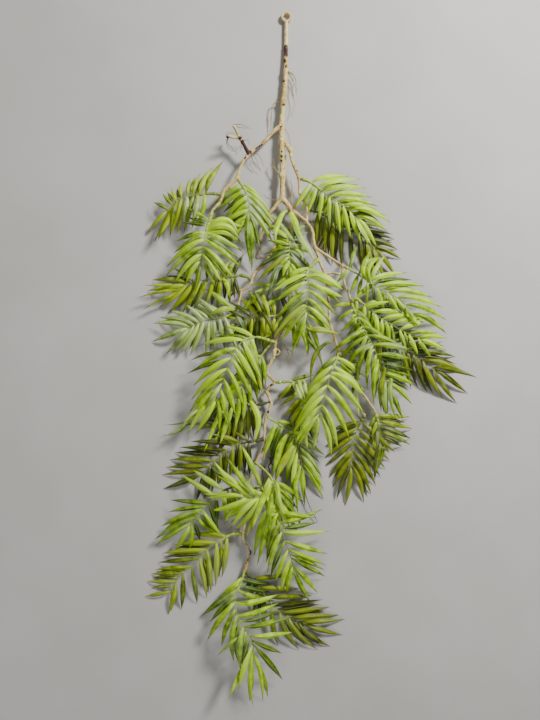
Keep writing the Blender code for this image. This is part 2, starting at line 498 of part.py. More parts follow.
def point_at(curve, total, distance):
    """The point a distance along a curve."""
    for i in range(1, len(curve)):
        if distance <= total[i] or i == len(curve) - 1:
            share = (distance - total[i - 1]) / max(total[i] - total[i - 1], 1e-9)
            return curve[i - 1].lerp(curve[i], share)


def part_way(values, share):
    """The value a share of the way along evenly spaced values."""
    place = share * (len(values) - 1)
    i = min(int(place), len(values) - 2)
    return values[i] + (values[i + 1] - values[i]) * (place - i)


def box_of(vertices):
    low = [min(v[k] for v in vertices) for k in range(3)]
    high = [max(v[k] for v in vertices) for k in range(3)]
    return low, high


# Faces between two four-cornered sections, closed at both ends
BOX_FACES = ((0, 1, 5, 4), (1, 2, 6, 5), (2, 3, 7, 6), (3, 0, 4, 7), (3, 2, 1, 0), (4, 5, 6, 7))


class Obstacle:
    """A closed shape kept for overlap tests, with its box for quick refusals."""

    def __init__(self, vertices, faces, owner):
        self.low, self.high = box_of(vertices)
        self.tree = BVHTree.FromPolygons(vertices, faces)
        self.owner = owner

    def meets(self, other):
        for k in range(3):
            if self.low[k] > other.high[k] or other.low[k] > self.high[k]:
                return False
        return bool(self.tree.overlap(other.tree))


def rib_stations(frond, length):
    """Distances of the rib's sections, and which section each leaflet pair starts at."""
    first = frond.bare / 1000
    last = length - LAST_PAIR_BACK
    stations = [0.0]
    if first > LONG_BARE:
        stations += [first * share for share in BARE_SECTIONS]
    starts = []
    for pair in range(frond.pairs):
        middle = first + (last - first) * pair / (frond.pairs - 1)
        starts.append(len(stations))
        stations += [middle - LEAFLET_ROOT / 2, middle + LEAFLET_ROOT / 2]
    stations.append(length)
    return stations, starts


class Rib:
    """A frond's rib: four-cornered sections along its route, top, left, bottom, right."""

    def __init__(self, frond, branch_tree, lift):
        points = [on_grid(x, y, height / 1000) for x, y, height in frond.route]
        for i, point in enumerate(points):
            point.z += lift / 1000 * math.sin(math.pi * min(i / (len(points) - 1), RIB_FALL))
            point.z = max(point.z, LEAST_RIB_HEIGHT)
        points = self.seated(points, branch_tree)
        curve = smooth_route(points)
        total = lengths_along(curve)
        self.stations, self.starts = rib_stations(frond, total[-1])
        self.centres = [point_at(curve, total, s) for s in self.stations]
        self.along = tangents(self.centres)
        self.along[0] = (points[1] - points[0]).normalized()
        self.side = []
        self.up = []
        for direction in self.along:
            level = Vector((0, 0, 1)).cross(direction)
            level = level.normalized() if level.length > 0.05 else Vector((1, 0, 0))
            self.side.append(level)
            self.up.append(direction.cross(level))
        count = len(self.stations) - 1
        self.radii = [(PETIOLE_THICKNESS + (RIB_END_THICKNESS - PETIOLE_THICKNESS) * i / count) / 2
                      for i in range(count + 1)]

    def seated(self, points, branch_tree):
        """Move the foot out of the bark until it stands a seat gap clear of it."""
        outward = (points[1] - points[0]).normalized()
        reach = (points[1] - points[0]).length
        hit = branch_tree.ray_cast(points[1], -outward, reach + 0.01)
        if hit[0] is not None:
            points[0] = hit[0] + outward * SEAT_GAP
        for _ in range(SEAT_STEPS):
            foot = self.foot_shape(points[0], outward)
            if not Obstacle(*foot, None).tree.overlap(branch_tree):
                break
            points[0] = points[0] + outward * SEAT_STEP
        return points

    def foot_shape(self, start, outward):
        level = Vector((0, 0, 1)).cross(outward)
        level = level.normalized() if level.length > 0.05 else Vector((1, 0, 0))
        upward = outward.cross(level)
        half = (PETIOLE_THICKNESS + SEAT_GAP) / 2
        back = start - outward * SEAT_GAP * FOOT_REACH
        vertices = []
        for centre in (back, start + outward * FOOT_LENGTH):
            vertices += [centre + upward * half, centre + level * half, centre - upward * half,
                         centre - level * half]
        return vertices, BOX_FACES

    def section(self, i, extra=0.0):
        centre, up, side, radius = self.centres[i], self.up[i], self.side[i], self.radii[i] + extra
        return [centre + up * radius, centre + side * radius, centre - up * radius, centre - side * radius]

    def obstacles(self, owner):
        shapes = []
        for i in range(len(self.centres) - 1):
            vertices = self.section(i, CLEARANCE) + self.section(i + 1, CLEARANCE)
            shapes.append(Obstacle(vertices, BOX_FACES, (owner, i)))
        return shapes


class Leaflet:
    """A pointed blade with a raised ridge, from a root on the rib to its tip."""

    def __init__(self, root, heading, outward, hinge, length, drop, arch, roll, mirrored):
        sections = SHORT_LEAFLET_SECTIONS if length < SHORT_LEAFLET else LEAFLET_SECTIONS
        reach = Vector((math.cos(heading), math.sin(heading), 0)) * length
        first = (outward * FIRST_RUN_OUTWARD + reach.normalized()).normalized() * length * FIRST_RUN
        fall = min(drop * length, root.z)
        self.sections = []
        width = LEAFLET_WIDTH + LEAFLET_WIDTH_PER_LENGTH * length
        for share, wide, held in sections + ((1.0, 0.0, 0.0),):
            plan = first * (2 * share * (1 - share)) + reach * share ** 2
            height = arch * length * 4 * share * (1 - share) * (1 - ARCH_LEAN * share) - fall * share ** 2
            slope = first * (2 - 4 * share) + reach * (2 * share)
            slope.z = arch * length * 4 * (1 - 2 * share) - fall * 2 * share
            centre = root + plan + Vector((0, 0, height))
            self.sections.append((centre, slope.normalized(), width * wide / 2, held))
        self.roll = roll
        self.mirrored = mirrored
        turn = self.root_turn(hinge)
        self.wrung = abs(turn) > MOST_ROOT_TURN
        self.twist = min(max(turn, -MOST_TWIST), MOST_TWIST)

    def root_turn(self, hinge):
        """The turn about the blade that brings its level width in line with its root."""
        slope = self.sections[0][1]
        level = slope.cross(Vector((0, 0, 1))).normalized() * (-1 if self.mirrored else 1)
        hinge = hinge - slope * hinge.dot(slope)
        return math.atan2(level.cross(hinge).dot(slope), level.dot(hinge))

    def rings(self, extra=0.0):
        """Left edge, ridge, right edge and underside of each section, and the tip."""
        result = []
        for centre, slope, half, held in self.sections[:-1]:
            level = slope.cross(Vector((0, 0, 1))).normalized()
            if self.mirrored:
                level = -level
            across = Matrix.Rotation(self.twist * held + self.roll * (1 - held), 3, slope) @ level
            upward = slope.cross(across) if self.mirrored else across.cross(slope)
            ring = [centre - across * (half + extra), centre + upward * (LEAFLET_RIDGE + extra),
                    centre + across * (half + extra), centre - upward * extra]
            for point in ring:
                point.z = max(point.z, 0.0)
            ring[1].z = max(ring[1].z, LEAST_RIDGE_HEIGHT)
            result.append(ring)
        tip = self.sections[-1][0].copy()
        tip.z = max(tip.z, 0.0)
        return result, tip

    def obstacle(self, foot, owner):
        """The blade made stouter by the clearance, from its four-cornered foot to its tip."""
        rings, tip = self.rings(CLEARANCE)
        vertices = list(foot)
        for ring in rings:
            vertices += ring
        vertices.append(tip + self.sections[-1][1] * CLEARANCE)
        faces = [(0, 1, 2), (0, 2, 3)]
        for i in range(len(rings)):
            for k in range(4):
                a = i * 4 + k
                b = i * 4 + (k + 1) % 4
                faces += [(a, b, b + 4), (a, b + 4, a + 4)]
        end = len(rings) * 4
        faces += [(end + k, end + (k + 1) % 4, len(vertices) - 1) for k in range(4)]
        return Obstacle(vertices, faces, owner)


def rolls(index):
    """A small roll for each leaflet in turn, never the same twice running."""
    return MOST_ROLL * math.sin(index * ROLL_STEP)


class Grove:
    """Every shape placed so far."""

    def __init__(self):
        self.shapes = []

    def free(self, shape, allowed):
        for other in self.shapes:
            if other.owner in allowed:
                continue
            if other.meets(shape):
                return False
        return True


def place_rib(frond, branch, grove):
    for lift in LIFTS:
        rib = Rib(frond, branch.tree, lift)
        shapes = rib.obstacles(frond.name)
        clear = True
        for i, shape in enumerate(shapes):
            near_foot = rib.stations[i] < FOOT_LENGTH
            if not near_foot and shape.meets(branch):
                clear = False
                break
            if not grove.free(shape, ()):
                clear = False
                break
        if clear:
            break
    grove.shapes += shapes
    return rib


def off_the_rib(heading, along, hand):
    """A heading kept clear of the rib's own line, on the leaflet's side of it."""
    line = math.atan2(along.y, along.x)
    away = math.degrees((heading - line) * hand) % 360
    if away > 270:
        away -= 360
    away = min(max(away, NARROWEST_ANGLE), WIDEST_ANGLE)
    return line + hand * math.radians(away)


def foot_of(rib, start, hand):
    """Corners round a leaflet's root, in the order of its sections."""
    along, up = rib.along[start], rib.up[start]
    side = rib.side[start] * hand
    middle = (rib.centres[start] + rib.centres[start + 1]) / 2 + side * (rib.radii[start] + CLEARANCE)
    half = LEAFLET_ROOT / 2
    return [middle - along * half, middle + up * rib.radii[start], middle + along * half,
            middle - up * rib.radii[start] * FOOT_DEPTH]


def fit_leaflet(rib, start, hand, heading, length, owner, allowed, branch, grove, roll):
    """The first leaflet, of those it may try, that is clear of everything placed."""
    if hand:
        side = rib.side[start] * hand
        hinge = rib.along[start]
        root = (rib.centres[start] + rib.centres[start + 1]) / 2 + side * rib.radii[start]
        foot = foot_of(rib, start, hand)
    else:
        side = rib.along[start]
        hinge = -rib.side[start]
        root = rib.centres[start]
        foot = rib.section(start, CLEARANCE)
        foot = [foot[1], foot[0], foot[3], foot[2]]
    for share in SHARES:
        for turn in TURNS:
            way = heading + math.radians(turn)
            if hand:
                way = off_the_rib(way, rib.along[start], hand)
            for arch in ARCHES:
                for drop in DROPS:
                    leaflet = Leaflet(root, way, side, hinge, length * share, drop, arch, roll, hand < 0)
                    if leaflet.wrung:
                        continue
                    shape = leaflet.obstacle(foot, owner)
                    if shape.meets(branch) or not grove.free(shape, allowed):
                        continue
                    grove.shapes.append(shape)
                    return leaflet
    return None


def dress_rib(frond, rib, branch, grove):
    """Leaflets down both sides of a rib, then the one at its end."""
    placed = {}
    count = 0
    for pair, start in enumerate(rib.starts):
        share = pair / (frond.pairs - 1)
        for hand, fan in ((1, frond.left), (-1, frond.right)):
            heading = math.radians(part_way(fan.headings, share))
            length = part_way(fan.lengths, share) * GRID_STEP
            allowed = {(frond.name, k) for k in range(start - 1, start + 2)}
            leaflet = fit_leaflet(rib, start, hand, heading, length, (frond.name, hand, pair), allowed,
                                  branch, grove, rolls(count))
            count += 1
            if leaflet:
                placed[(hand, pair)] = leaflet
    end = len(rib.centres) - 1
    allowed = {(frond.name, end - 1)}
    placed["tip"] = fit_leaflet(rib, end, 0, math.radians(frond.tip[0]), frond.tip[1] * GRID_STEP,
                                (frond.name, 0, 0), allowed, branch, grove, 0.0)
    return placed


def frond_mesh(frond, rib, placed):
    """One closed mesh: the rib, with each leaflet growing out of its side edge."""
    vertices = []
    faces = []
    for i in range(len(rib.centres)):
        vertices += rib.section(i)
    attached = {}
    for pair, start in enumerate(rib.starts):
        for hand, edge in ((1, 1), (-1, 3)):
            if (hand, pair) in placed:
                attached[(start, edge)] = placed[(hand, pair)]
    for i in range(len(rib.centres) - 1):
        near, far = 4 * i, 4 * i + 4
        for edge, hand in ((1, 1), (3, -1)):
            below = ((near + edge, near + 2, far + 2), (near + edge, far + 2, far + edge))
            if (i, edge) in attached:
                above, blade = leaflet_faces(vertices, attached[(i, edge)], near, far, edge, rib, i)
                group = list(below) + above + blade
            else:
                group = list(below) + [(near, near + edge, far + edge), (near, far + edge, far)]
            faces += [tuple(reversed(face)) for face in group] if hand > 0 else group
    faces.append((0, 1, 2, 3))
    close_end(vertices, faces, placed["tip"], 4 * (len(rib.centres) - 1))
    return vertices, faces


def split_outwards(vertices, quad, faces_out):
    """Two triangles across a bent quad, along the diagonal that stands further out."""
    a, b, c, d = (vertices[i] for i in quad)
    outward = (c - a).cross(d - b) * (1 if faces_out else -1)
    if (a + c - b - d).dot(outward) > 0:
        return [(quad[0], quad[1], quad[2]), (quad[0], quad[2], quad[3])]
    return [(quad[0], quad[1], quad[3]), (quad[1], quad[2], quad[3])]


def leaflet_faces(vertices, leaflet, near, far, edge, rib, i):
    """Faces of a leaflet and of the rib's upper face round its root."""
    ridge = len(vertices)
    top = (vertices[near] + vertices[far]) / 2
    side = (vertices[near + edge] + vertices[far + edge]) / 2
    outward = rib.side[i] * (1 if edge == 1 else -1)
    vertices.append(side.lerp(top, ROOT_RISE) + outward * rib.radii[i] * ROOT_REACH)
    above = [(near, near + edge, ridge), (near, ridge, far), (far, ridge, far + edge)]
    rings, tip = leaflet.rings()
    before = (near + edge, ridge, far + edge)
    blade = []
    for ring in rings:
        first = len(vertices)
        vertices.extend(ring[:3])
        after = (first, first + 1, first + 2)
        for k in range(3):
            beside = (k + 1) % 3
            quad = (before[k], after[k], after[beside], before[beside])
            blade += split_outwards(vertices, quad, edge == 3)
        before = after
    vertices.append(tip)
    end = len(vertices) - 1
    blade += [(before[0], end, before[1]), (before[1], end, before[2]), (before[2], end, before[0])]
    return above, blade


def close_end(vertices, faces, leaflet, base):
    """Close the rib with its end leaflet, or plainly where there is none."""
    before = [base, base + 1, base + 2, base + 3]
    if leaflet:
        rings, tip = leaflet.rings()
        for ring in rings:
            first = len(vertices)
            left, ridge, right, under = ring
            under = (left + right) / 2 - Vector((0, 0, END_LEAFLET_DEPTH))
            under.z = max(under.z, 0.0)
            vertices += [ridge, left, under, right]
            for k in range(4):
                beside = (k + 1) % 4
                faces.append((before[k], first + beside, before[beside]))
                faces.append((before[k], first + k, first + beside))
            before = [first, first + 1, first + 2, first + 3]
        vertices.append(tip)
        end = len(vertices) - 1
        faces += [(before[(k + 1) % 4], before[k], end) for k in range(4)]
    else:
        faces.append(tuple(reversed(before)))


def build_fronds(branch_object):
    mesh = branch_object.data
    faces = [tuple(p.vertices) for p in mesh.polygons]
    branch = Obstacle([v.co.copy() for v in mesh.vertices], faces, None)
    grove = Grove()
    ribs = [place_rib(frond, branch, grove) for frond in FRONDS]
    parts = []
    for frond, rib in zip(FRONDS, ribs):
        placed = dress_rib(frond, rib, branch, grove)
        part = make_object(frond.name, *frond_mesh(frond, rib, placed), finish(frond.tone))
        parts.append(part)
    return parts


def centre_on_origin(parts):
    """Put the plan centre of everything over the origin, and the lowest point at 0."""
    corners = [v.co for part in parts for v in part.data.vertices]
    low, high = box_of(corners)
    shift = Vector((-(low[0] + high[0]) / 2, -(low[1] + high[1]) / 2, -low[2]))
    for part in parts:
        part.data.transform(Matrix.Translation(shift))


def main():
    clear_scene()
    eye = build_eye()
    branch = build_branch()
    fronds = build_fronds(branch)
    centre_on_origin([eye, branch] + fronds)


main()
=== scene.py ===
"""Looks of an artificial palm branch, two metres long, lying on a pale surface.

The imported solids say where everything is.  Each frond's rib and leaflets are read
back from its node and dressed: the rib as a round stalk, each leaflet as a thin
pointed blade with a crease, ripples and a browned tip.  More leaflets fill the room
between them, and loose leaves lie on top.  The bark is the branch node rounded,
roughened and chipped, with rootlets, dead hairs and sleeves of tape.
"""
import json
import math
import random

import bpy
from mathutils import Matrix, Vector, noise
from mathutils.bvhtree import BVHTree


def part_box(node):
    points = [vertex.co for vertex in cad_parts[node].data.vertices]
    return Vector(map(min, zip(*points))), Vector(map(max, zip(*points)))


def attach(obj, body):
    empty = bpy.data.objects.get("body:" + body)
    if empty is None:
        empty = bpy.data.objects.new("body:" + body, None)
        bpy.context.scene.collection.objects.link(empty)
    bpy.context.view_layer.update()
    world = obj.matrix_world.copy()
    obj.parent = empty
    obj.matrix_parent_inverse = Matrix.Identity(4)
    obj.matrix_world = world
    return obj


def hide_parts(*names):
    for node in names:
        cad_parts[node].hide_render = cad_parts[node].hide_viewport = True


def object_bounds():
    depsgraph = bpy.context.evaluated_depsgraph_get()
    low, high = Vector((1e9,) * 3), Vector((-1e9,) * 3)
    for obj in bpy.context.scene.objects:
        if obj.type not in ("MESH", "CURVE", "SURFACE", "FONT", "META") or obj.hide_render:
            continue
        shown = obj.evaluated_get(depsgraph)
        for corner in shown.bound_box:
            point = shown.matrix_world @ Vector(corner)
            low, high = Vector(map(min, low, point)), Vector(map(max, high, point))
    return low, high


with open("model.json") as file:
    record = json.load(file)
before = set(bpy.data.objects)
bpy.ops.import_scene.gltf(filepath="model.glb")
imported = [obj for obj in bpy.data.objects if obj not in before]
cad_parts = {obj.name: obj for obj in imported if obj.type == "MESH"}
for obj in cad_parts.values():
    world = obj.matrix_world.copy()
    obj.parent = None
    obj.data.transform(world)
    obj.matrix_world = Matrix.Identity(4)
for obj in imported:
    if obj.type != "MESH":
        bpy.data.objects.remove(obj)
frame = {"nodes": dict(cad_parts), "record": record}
cad_low, cad_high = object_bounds()
nodes = frame["nodes"]
ROOT = "root"
UP = Vector((0, 0, 1))
MM_PER_M = 1000
SAME_PLACE = 1e-6
LEAST_LENGTH = 1e-9

# The view that the whole branch is laid out for: straight above, on a 3 mm grid
GRID_STEP = 0.003
GRID_CENTRE = (270.0, 360.0)
SIGHT_HEIGHT = 1.56
EYE_GRID = (286.2, 19.0)
EYE_OUTER_RADIUS = 0.0155
FILM_WIDTH = 36.0
LENS = 26.0

# A leaflet's sheet: rows along it and columns across it, widths as shares of its widest
BLADE_ROWS = 22
BLADE_COLUMNS = 3
COLUMNS = [k / BLADE_COLUMNS for k in range(-BLADE_COLUMNS, BLADE_COLUMNS + 1)]
LOOP = len(COLUMNS) * 2 - 2
CURVE_STEPS = 6
BLADE_THICKNESS = 0.0006
EDGE_THINNING = 0.5
LEAST_HALF_WIDTH = 0.0003
BLADE_NARROWING = 0.96
EXTRA_NARROWING = 0.86
WIDEST_SHARE = 0.38
FOOT_WIDTH = 0.3
TIP_SHARPNESS = 1.22
CREASE = 0.42
CREASE_LEVEL = 0.55
CREASE_START = 0.15
CREASE_FADE = 0.3
PLEAT = 0.00012
RIPPLE = 0.09
WAVES = (1.5, 3.0)
EDGE_CURL = 0.10
POINT_UNDER = 0.3
SHARP_DEGREES = 48
FLOOR_GAP = 0.0001
ROOT_DEPTH = 0.0012

# How the solids are read: corners of a section, long and short edges
BLADE_CORNERS = 3
LEAST_SECTIONS = 3
LONG_EDGE = 0.006
RIDGE_SHARE = 0.4
RIB_CORNERS = 4
RIB_EDGE = 0.0034
STALK_SIDES = 8
STALK_STEPS = 3
STALK_FILL = 0.96

# Further leaflets between a frond's own, lower and shorter, painted dark as shade through low tints, and
# how often there is one
EXTRA_TRIES = 10
EXTRA_LEAN = (0.42, 0.58)
EXTRA_LENGTH = (0.80, 0.97)
EXTRA_DROP = (0.001, 0.011)
DROP_STEEPNESS = 2.5
LOWEST_EXTRA = 0.0012
# Extra leaflets get tints below this, so the deep colour paints them dark as shade between the leaflets
EXTRA_SHADE_TINT = 0.3
MOST_PAIR_GAP = 0.045
USUAL_EXTRA_SHARE = 0.6
EXTRA_SHARE = {
    "frond_right_7": 0.3, "frond_low_1": 0.2, "frond_low_2": 0.35, "frond_low_3": 0.5,
    "frond_left_10": 0.4, "frond_mid_1": 0.4, "frond_right_1": 0.6, "frond_right_5": 0.8,
    "frond_left_6": 0.5, "frond_left_8": 0.8, "frond_right_4": 0.7,
}
# Fronds with younger, lighter leaflets than their tone has
TINT_SHIFT = {
    "frond_left_6": 0.4, "frond_right_1": 0.35, "frond_left_1": 0.25, "frond_left_5": 0.25,
    "frond_right_4": 0.2, "frond_right_7": 0.1, "frond_left_2": 0.2,
}

eye_low, eye_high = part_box("hanging_eye")
EYE_CENTRE = Vector(((eye_low[0] + eye_high[0]) / 2, eye_high[1] - EYE_OUTER_RADIUS, 0))
GRID_ORIGIN = Vector((EYE_CENTRE.x - (EYE_GRID[0] - GRID_CENTRE[0]) * GRID_STEP,
                      EYE_CENTRE.y - (GRID_CENTRE[1] - EYE_GRID[1]) * GRID_STEP, 0))


def on_grid(grid_x, grid_y, height):
    """The point seen at a grid place from straight above, at a height in metres."""
    nearer = (SIGHT_HEIGHT - height) / SIGHT_HEIGHT
    return GRID_ORIGIN + Vector(((grid_x - GRID_CENTRE[0]) * GRID_STEP * nearer,
                                 (GRID_CENTRE[1] - grid_y) * GRID_STEP * nearer, height))


def grid_of(place):
    """The grid place where a point is seen from straight above."""
    step = GRID_STEP * (SIGHT_HEIGHT - place.z) / SIGHT_HEIGHT
    return (GRID_CENTRE[0] + (place.x - GRID_ORIGIN.x) / step,
            GRID_CENTRE[1] - (place.y - GRID_ORIGIN.y) / step)


def put(name, data):
    """A new object in the scene."""
    made = bpy.data.objects.new(name, data)
    bpy.context.scene.collection.objects.link(made)
    return made


def make_piece(name, vertices, faces, material, rounded=True):
    mesh = bpy.data.meshes.new(name)
    mesh.from_pydata([tuple(v) for v in vertices], [], faces)
    mesh.update()
    if rounded:
        mesh.shade_smooth()
    mesh.materials.append(material)
    return put(name, mesh)


def paint(mesh, name, values):
    """A value on each corner of a mesh, for its material to read."""
    mesh.attributes.new(name, "FLOAT", "POINT").data.foreach_set("value", values)


# Material helpers


class Shader:
    """A material's node tree with one Principled shader."""

    def __init__(self, name, roughness, specular):
        self.material = bpy.data.materials.new(name)
        self.material.use_nodes = True
        self.tree = self.material.node_tree
        self.surface = self.tree.nodes["Principled BSDF"]
        self.surface.inputs["Roughness"].default_value = roughness
        self.surface.inputs["Specular IOR Level"].default_value = specular

    def node(self, kind, **settings):
        made = self.tree.nodes.new(kind)
        for key, value in settings.items():
            setattr(made, key, value)
        return made

    def link(self, source, target):
        self.tree.links.new(source, target)

    def value(self, attribute):
        return self.node("ShaderNodeAttribute", attribute_name=attribute).outputs["Fac"]

    def noise(self, scale, detail=3.0, rough=0.6, stretch=None):
        made = self.node("ShaderNodeTexNoise")
        made.inputs["Scale"].default_value = scale
        made.inputs["Detail"].default_value = detail
        made.inputs["Roughness"].default_value = rough
        spot = self.node("ShaderNodeNewGeometry").outputs["Position"]
        if stretch:
            mapping = self.node("ShaderNodeMapping")
            mapping.inputs["Scale"].default_value = stretch
            self.link(spot, mapping.inputs["Vector"])
            spot = mapping.outputs["Vector"]
        self.link(spot, made.inputs["Vector"])
        return made.outputs["Fac"]

    def ramp(self, source, low, high):
        """Source spread from 0 at low to 1 at high."""
        made = self.node("ShaderNodeMapRange")
        made.inputs["From Min"].default_value = low
        made.inputs["From Max"].default_value = high
        made.clamp = True
        self.link(source, made.inputs["Value"])
        return made.outputs["Result"]

    def fill(self, socket, term):
        """Give a socket a number, a colour of three numbers or another node's output."""
        if isinstance(term, tuple):
            socket.default_value = (*term, 1.0)
        elif isinstance(term, float):
            socket.default_value = term
        else:
            self.link(term, socket)

    def maths(self, operation, *terms):
        made = self.node("ShaderNodeMath", operation=operation)
        for socket, term in zip(made.inputs, terms):
            self.fill(socket, term)
        return made.outputs[0]

    def times(self, source, factor):
        return self.maths("MULTIPLY", source, factor)

    def mix(self, factor, a, b):
        """Mix of two colours, from all of the first at 0 to all of the second at 1."""
        made = self.node("ShaderNodeMix", data_type="RGBA")
        for key, term in (("Factor_Float", factor), ("A_Color", a), ("B_Color", b)):
            self.fill(next(s for s in made.inputs if s.identifier == key), term)
        return next(s for s in made.outputs if s.identifier == "Result_Color")

    def spread(self, source, low, high, a, b):
        """One colour where the source is below low, the other above high."""
        return self.mix(self.ramp(source, low, high), a, b)

    def cover(self, colour, mask, share, paint):
        """The colour with a share of paint over it where the mask is 1."""
        return self.mix(self.times(mask, share), colour, paint)

    def finish(self, colour, bump, strength, distance, roughness=None):
        self.link(colour, self.surface.inputs["Base Color"])
        made = self.node("ShaderNodeBump")
        made.inputs["Strength"].default_value = strength
        made.inputs["Distance"].default_value = distance
        self.link(bump, made.inputs["Height"])
        self.link(made.outputs["Normal"], self.surface.inputs["Normal"])
        if roughness is not None:
            self.link(roughness, self.surface.inputs["Roughness"])
        return self.material


# Leaf colours: brown of rims and tips, a grey-green painted sheen, the streaks' dark, the underside's
# pale
BROWN = (0.085, 0.042, 0.010)
PAINTED_SHEEN = (0.40, 0.50, 0.22)
STREAK_DARK = (0.02, 0.035, 0.004)
UNDER_PALE = (0.40, 0.50, 0.18)
# How dark the deep colour at low tints is: a random darker tone, and painted shade on the extra leaflets
DEEP_TONE_AND_SHADE_SHARE = 0.45
# Leaf tones: base, young and vein colours, how brown the rims are and how much painted sheen the leaf has
TONES = {
    "bright": ((0.068, 0.175, 0.000), (0.55, 0.84, 0.006), (0.78, 0.92, 0.16), 0.30, 0.25),
    "fresh": ((0.050, 0.132, 0.000), (0.43, 0.69, 0.005), (0.62, 0.78, 0.13), 0.40, 0.45),
    "olive": ((0.054, 0.104, 0.000), (0.43, 0.57, 0.004), (0.60, 0.66, 0.09), 0.70, 0.25),
    "pale": ((0.095, 0.180, 0.018), (0.54, 0.74, 0.150), (0.78, 0.90, 0.38), 0.30, 0.6),
    # painted shade: a darker copy of the leaf colours, for fronds lying in shadow under others
    "shade": ((0.030, 0.056, 0.000), (0.240, 0.315, 0.002), (0.42, 0.45, 0.05), 1.00, 0.1),
}
STREAKS = 26.0
RIDGES = 52.0
# Colours of the stalks, the tape, the bark, the eye, the hairs and the floor
STALK_GREENS = ((0.14, 0.27, 0.01), (0.30, 0.46, 0.03))
STALK_BROWNS = ((0.17, 0.12, 0.035), (0.10, 0.13, 0.03))
TAPE_GREENS = ((0.20, 0.34, 0.02), (0.48, 0.56, 0.09))
TAPE_SEAM = (0.09, 0.11, 0.03)
DARK_TAPE = (0.045, 0.040, 0.012)
TAPE_TURNS = 1.7
BARK_TANS = ((0.47, 0.30, 0.085), (0.80, 0.62, 0.27))
BARK_BROWN = (0.27, 0.165, 0.045)
BARK_GREEN = (0.46, 0.50, 0.13)
BARK_SPECKS = (0.17, 0.10, 0.045)
MAROONS = ((0.030, 0.012, 0.010), (0.095, 0.035, 0.028))
EYE_TANS = ((0.50, 0.37, 0.13), (0.80, 0.66, 0.34))
EYE_STREAKS = (0.30, 0.21, 0.08)
EYE_WORN = (0.16, 0.11, 0.07)
STRAWS = ((0.27, 0.20, 0.06), (0.50, 0.42, 0.15))
DARK_HAIRS = ((0.035, 0.018, 0.012), (0.11, 0.06, 0.03))
FLOOR_GREYS = ((0.46, 0.445, 0.41), (0.52, 0.50, 0.465))


def leaf_material(name, base, young, vein, rim_share, sheen_share):
    """A printed plastic leaf: streaks along the blade, paler crease, browned tip and edge, patches of
    painted sheen, and a deep colour at low tints that is partly painted shade.
    """
    shader = Shader(name, 0.38, 0.3)
    along, across, tint, under = [shader.value(key) for key in ("along", "across", "tint", "under")]
    patches = shader.noise(38.0)
    fine = shader.noise(420.0)
    colour = shader.spread(patches, 0.36, 0.68, base, young)
    colour = shader.spread(tint, 0.25, 1.1, colour, young)
    # deep colour: a random darker tone, and painted shade on the low-tinted extra leaflets
    deep = tuple(c * DEEP_TONE_AND_SHADE_SHARE for c in base)
    colour = shader.spread(tint, 0.35, 0.0, colour, deep)
    # painted sheen: grey-green patches that stand in for a reflection on the blades
    sheen_patches = shader.ramp(shader.noise(13.0, 2.0, 0.5), 0.50, 0.64)
    colour = shader.cover(colour, sheen_patches, sheen_share, PAINTED_SHEEN)
    streak = shader.ramp(shader.maths("SINE", shader.times(across, STREAKS)), -0.6, 1.0)
    dark = shader.mix(0.5, colour, STREAK_DARK)
    colour = shader.cover(colour, streak, 0.5, dark)
    crease = shader.ramp(shader.maths("ABSOLUTE", across), 0.13, 0.0)
    colour = shader.cover(colour, crease, 0.4, vein)
    foot = shader.ramp(along, 0.14, 0.0)
    colour = shader.cover(colour, foot, 0.3, vein)
    edge = shader.ramp(shader.maths("ABSOLUTE", across), 0.66, 1.0)
    rim = shader.times(edge, shader.ramp(patches, 0.30, 0.55))
    colour = shader.cover(colour, rim, rim_share, BROWN)
    worn = shader.maths("ADD", along, shader.times(shader.ramp(patches, 0.3, 0.7), 0.08))
    colour = shader.spread(worn, 0.87, 1.0, colour, BROWN)
    colour = shader.mix(under, colour, shader.mix(0.5, colour, UNDER_PALE))
    ridges = shader.maths("SINE", shader.times(across, RIDGES))
    height = shader.maths("ADD", shader.times(ridges, 0.6), shader.times(fine, 0.5))
    rough = shader.maths("ADD", shader.times(shader.ramp(patches, -0.9, 1.4), 0.25), 0.24)
    return shader.finish(colour, height, 0.35, 0.00025, rough)


def stalk_material():
    """Green petioles and ribs, browner towards their feet."""
    shader = Shader("stalk", 0.45, 0.45)
    along = shader.value("along")
    streaks = shader.noise(160.0, 4.0)
    green = shader.spread(streaks, 0.35, 0.65, *STALK_GREENS)
    brown = shader.spread(streaks, 0.4, 0.6, *STALK_BROWNS)
    colour = shader.spread(along, 0.4, 0.0, green, brown)
    return shader.finish(colour, streaks, 0.35, 0.0004)


def tape_material():
    """Waxy florist's tape, green to tan, wound in turns."""
    shader = Shader("florist_tape", 0.62, 0.35)
    turns = shader.value("along")
    patches = shader.noise(90.0)
    colour = shader.spread(patches, 0.36, 0.62, *TAPE_GREENS)
    seam = shader.ramp(shader.maths("SINE", shader.times(turns, TAPE_TURNS)), 0.6, 1.0)
    colour = shader.cover(colour, seam, 0.5, TAPE_SEAM)
    colour = shader.mix(shader.value("tint"), colour, DARK_TAPE)
    height = shader.maths("ADD", shader.times(patches, 0.8), seam)
    return shader.finish(colour, height, 0.5, 0.0005)


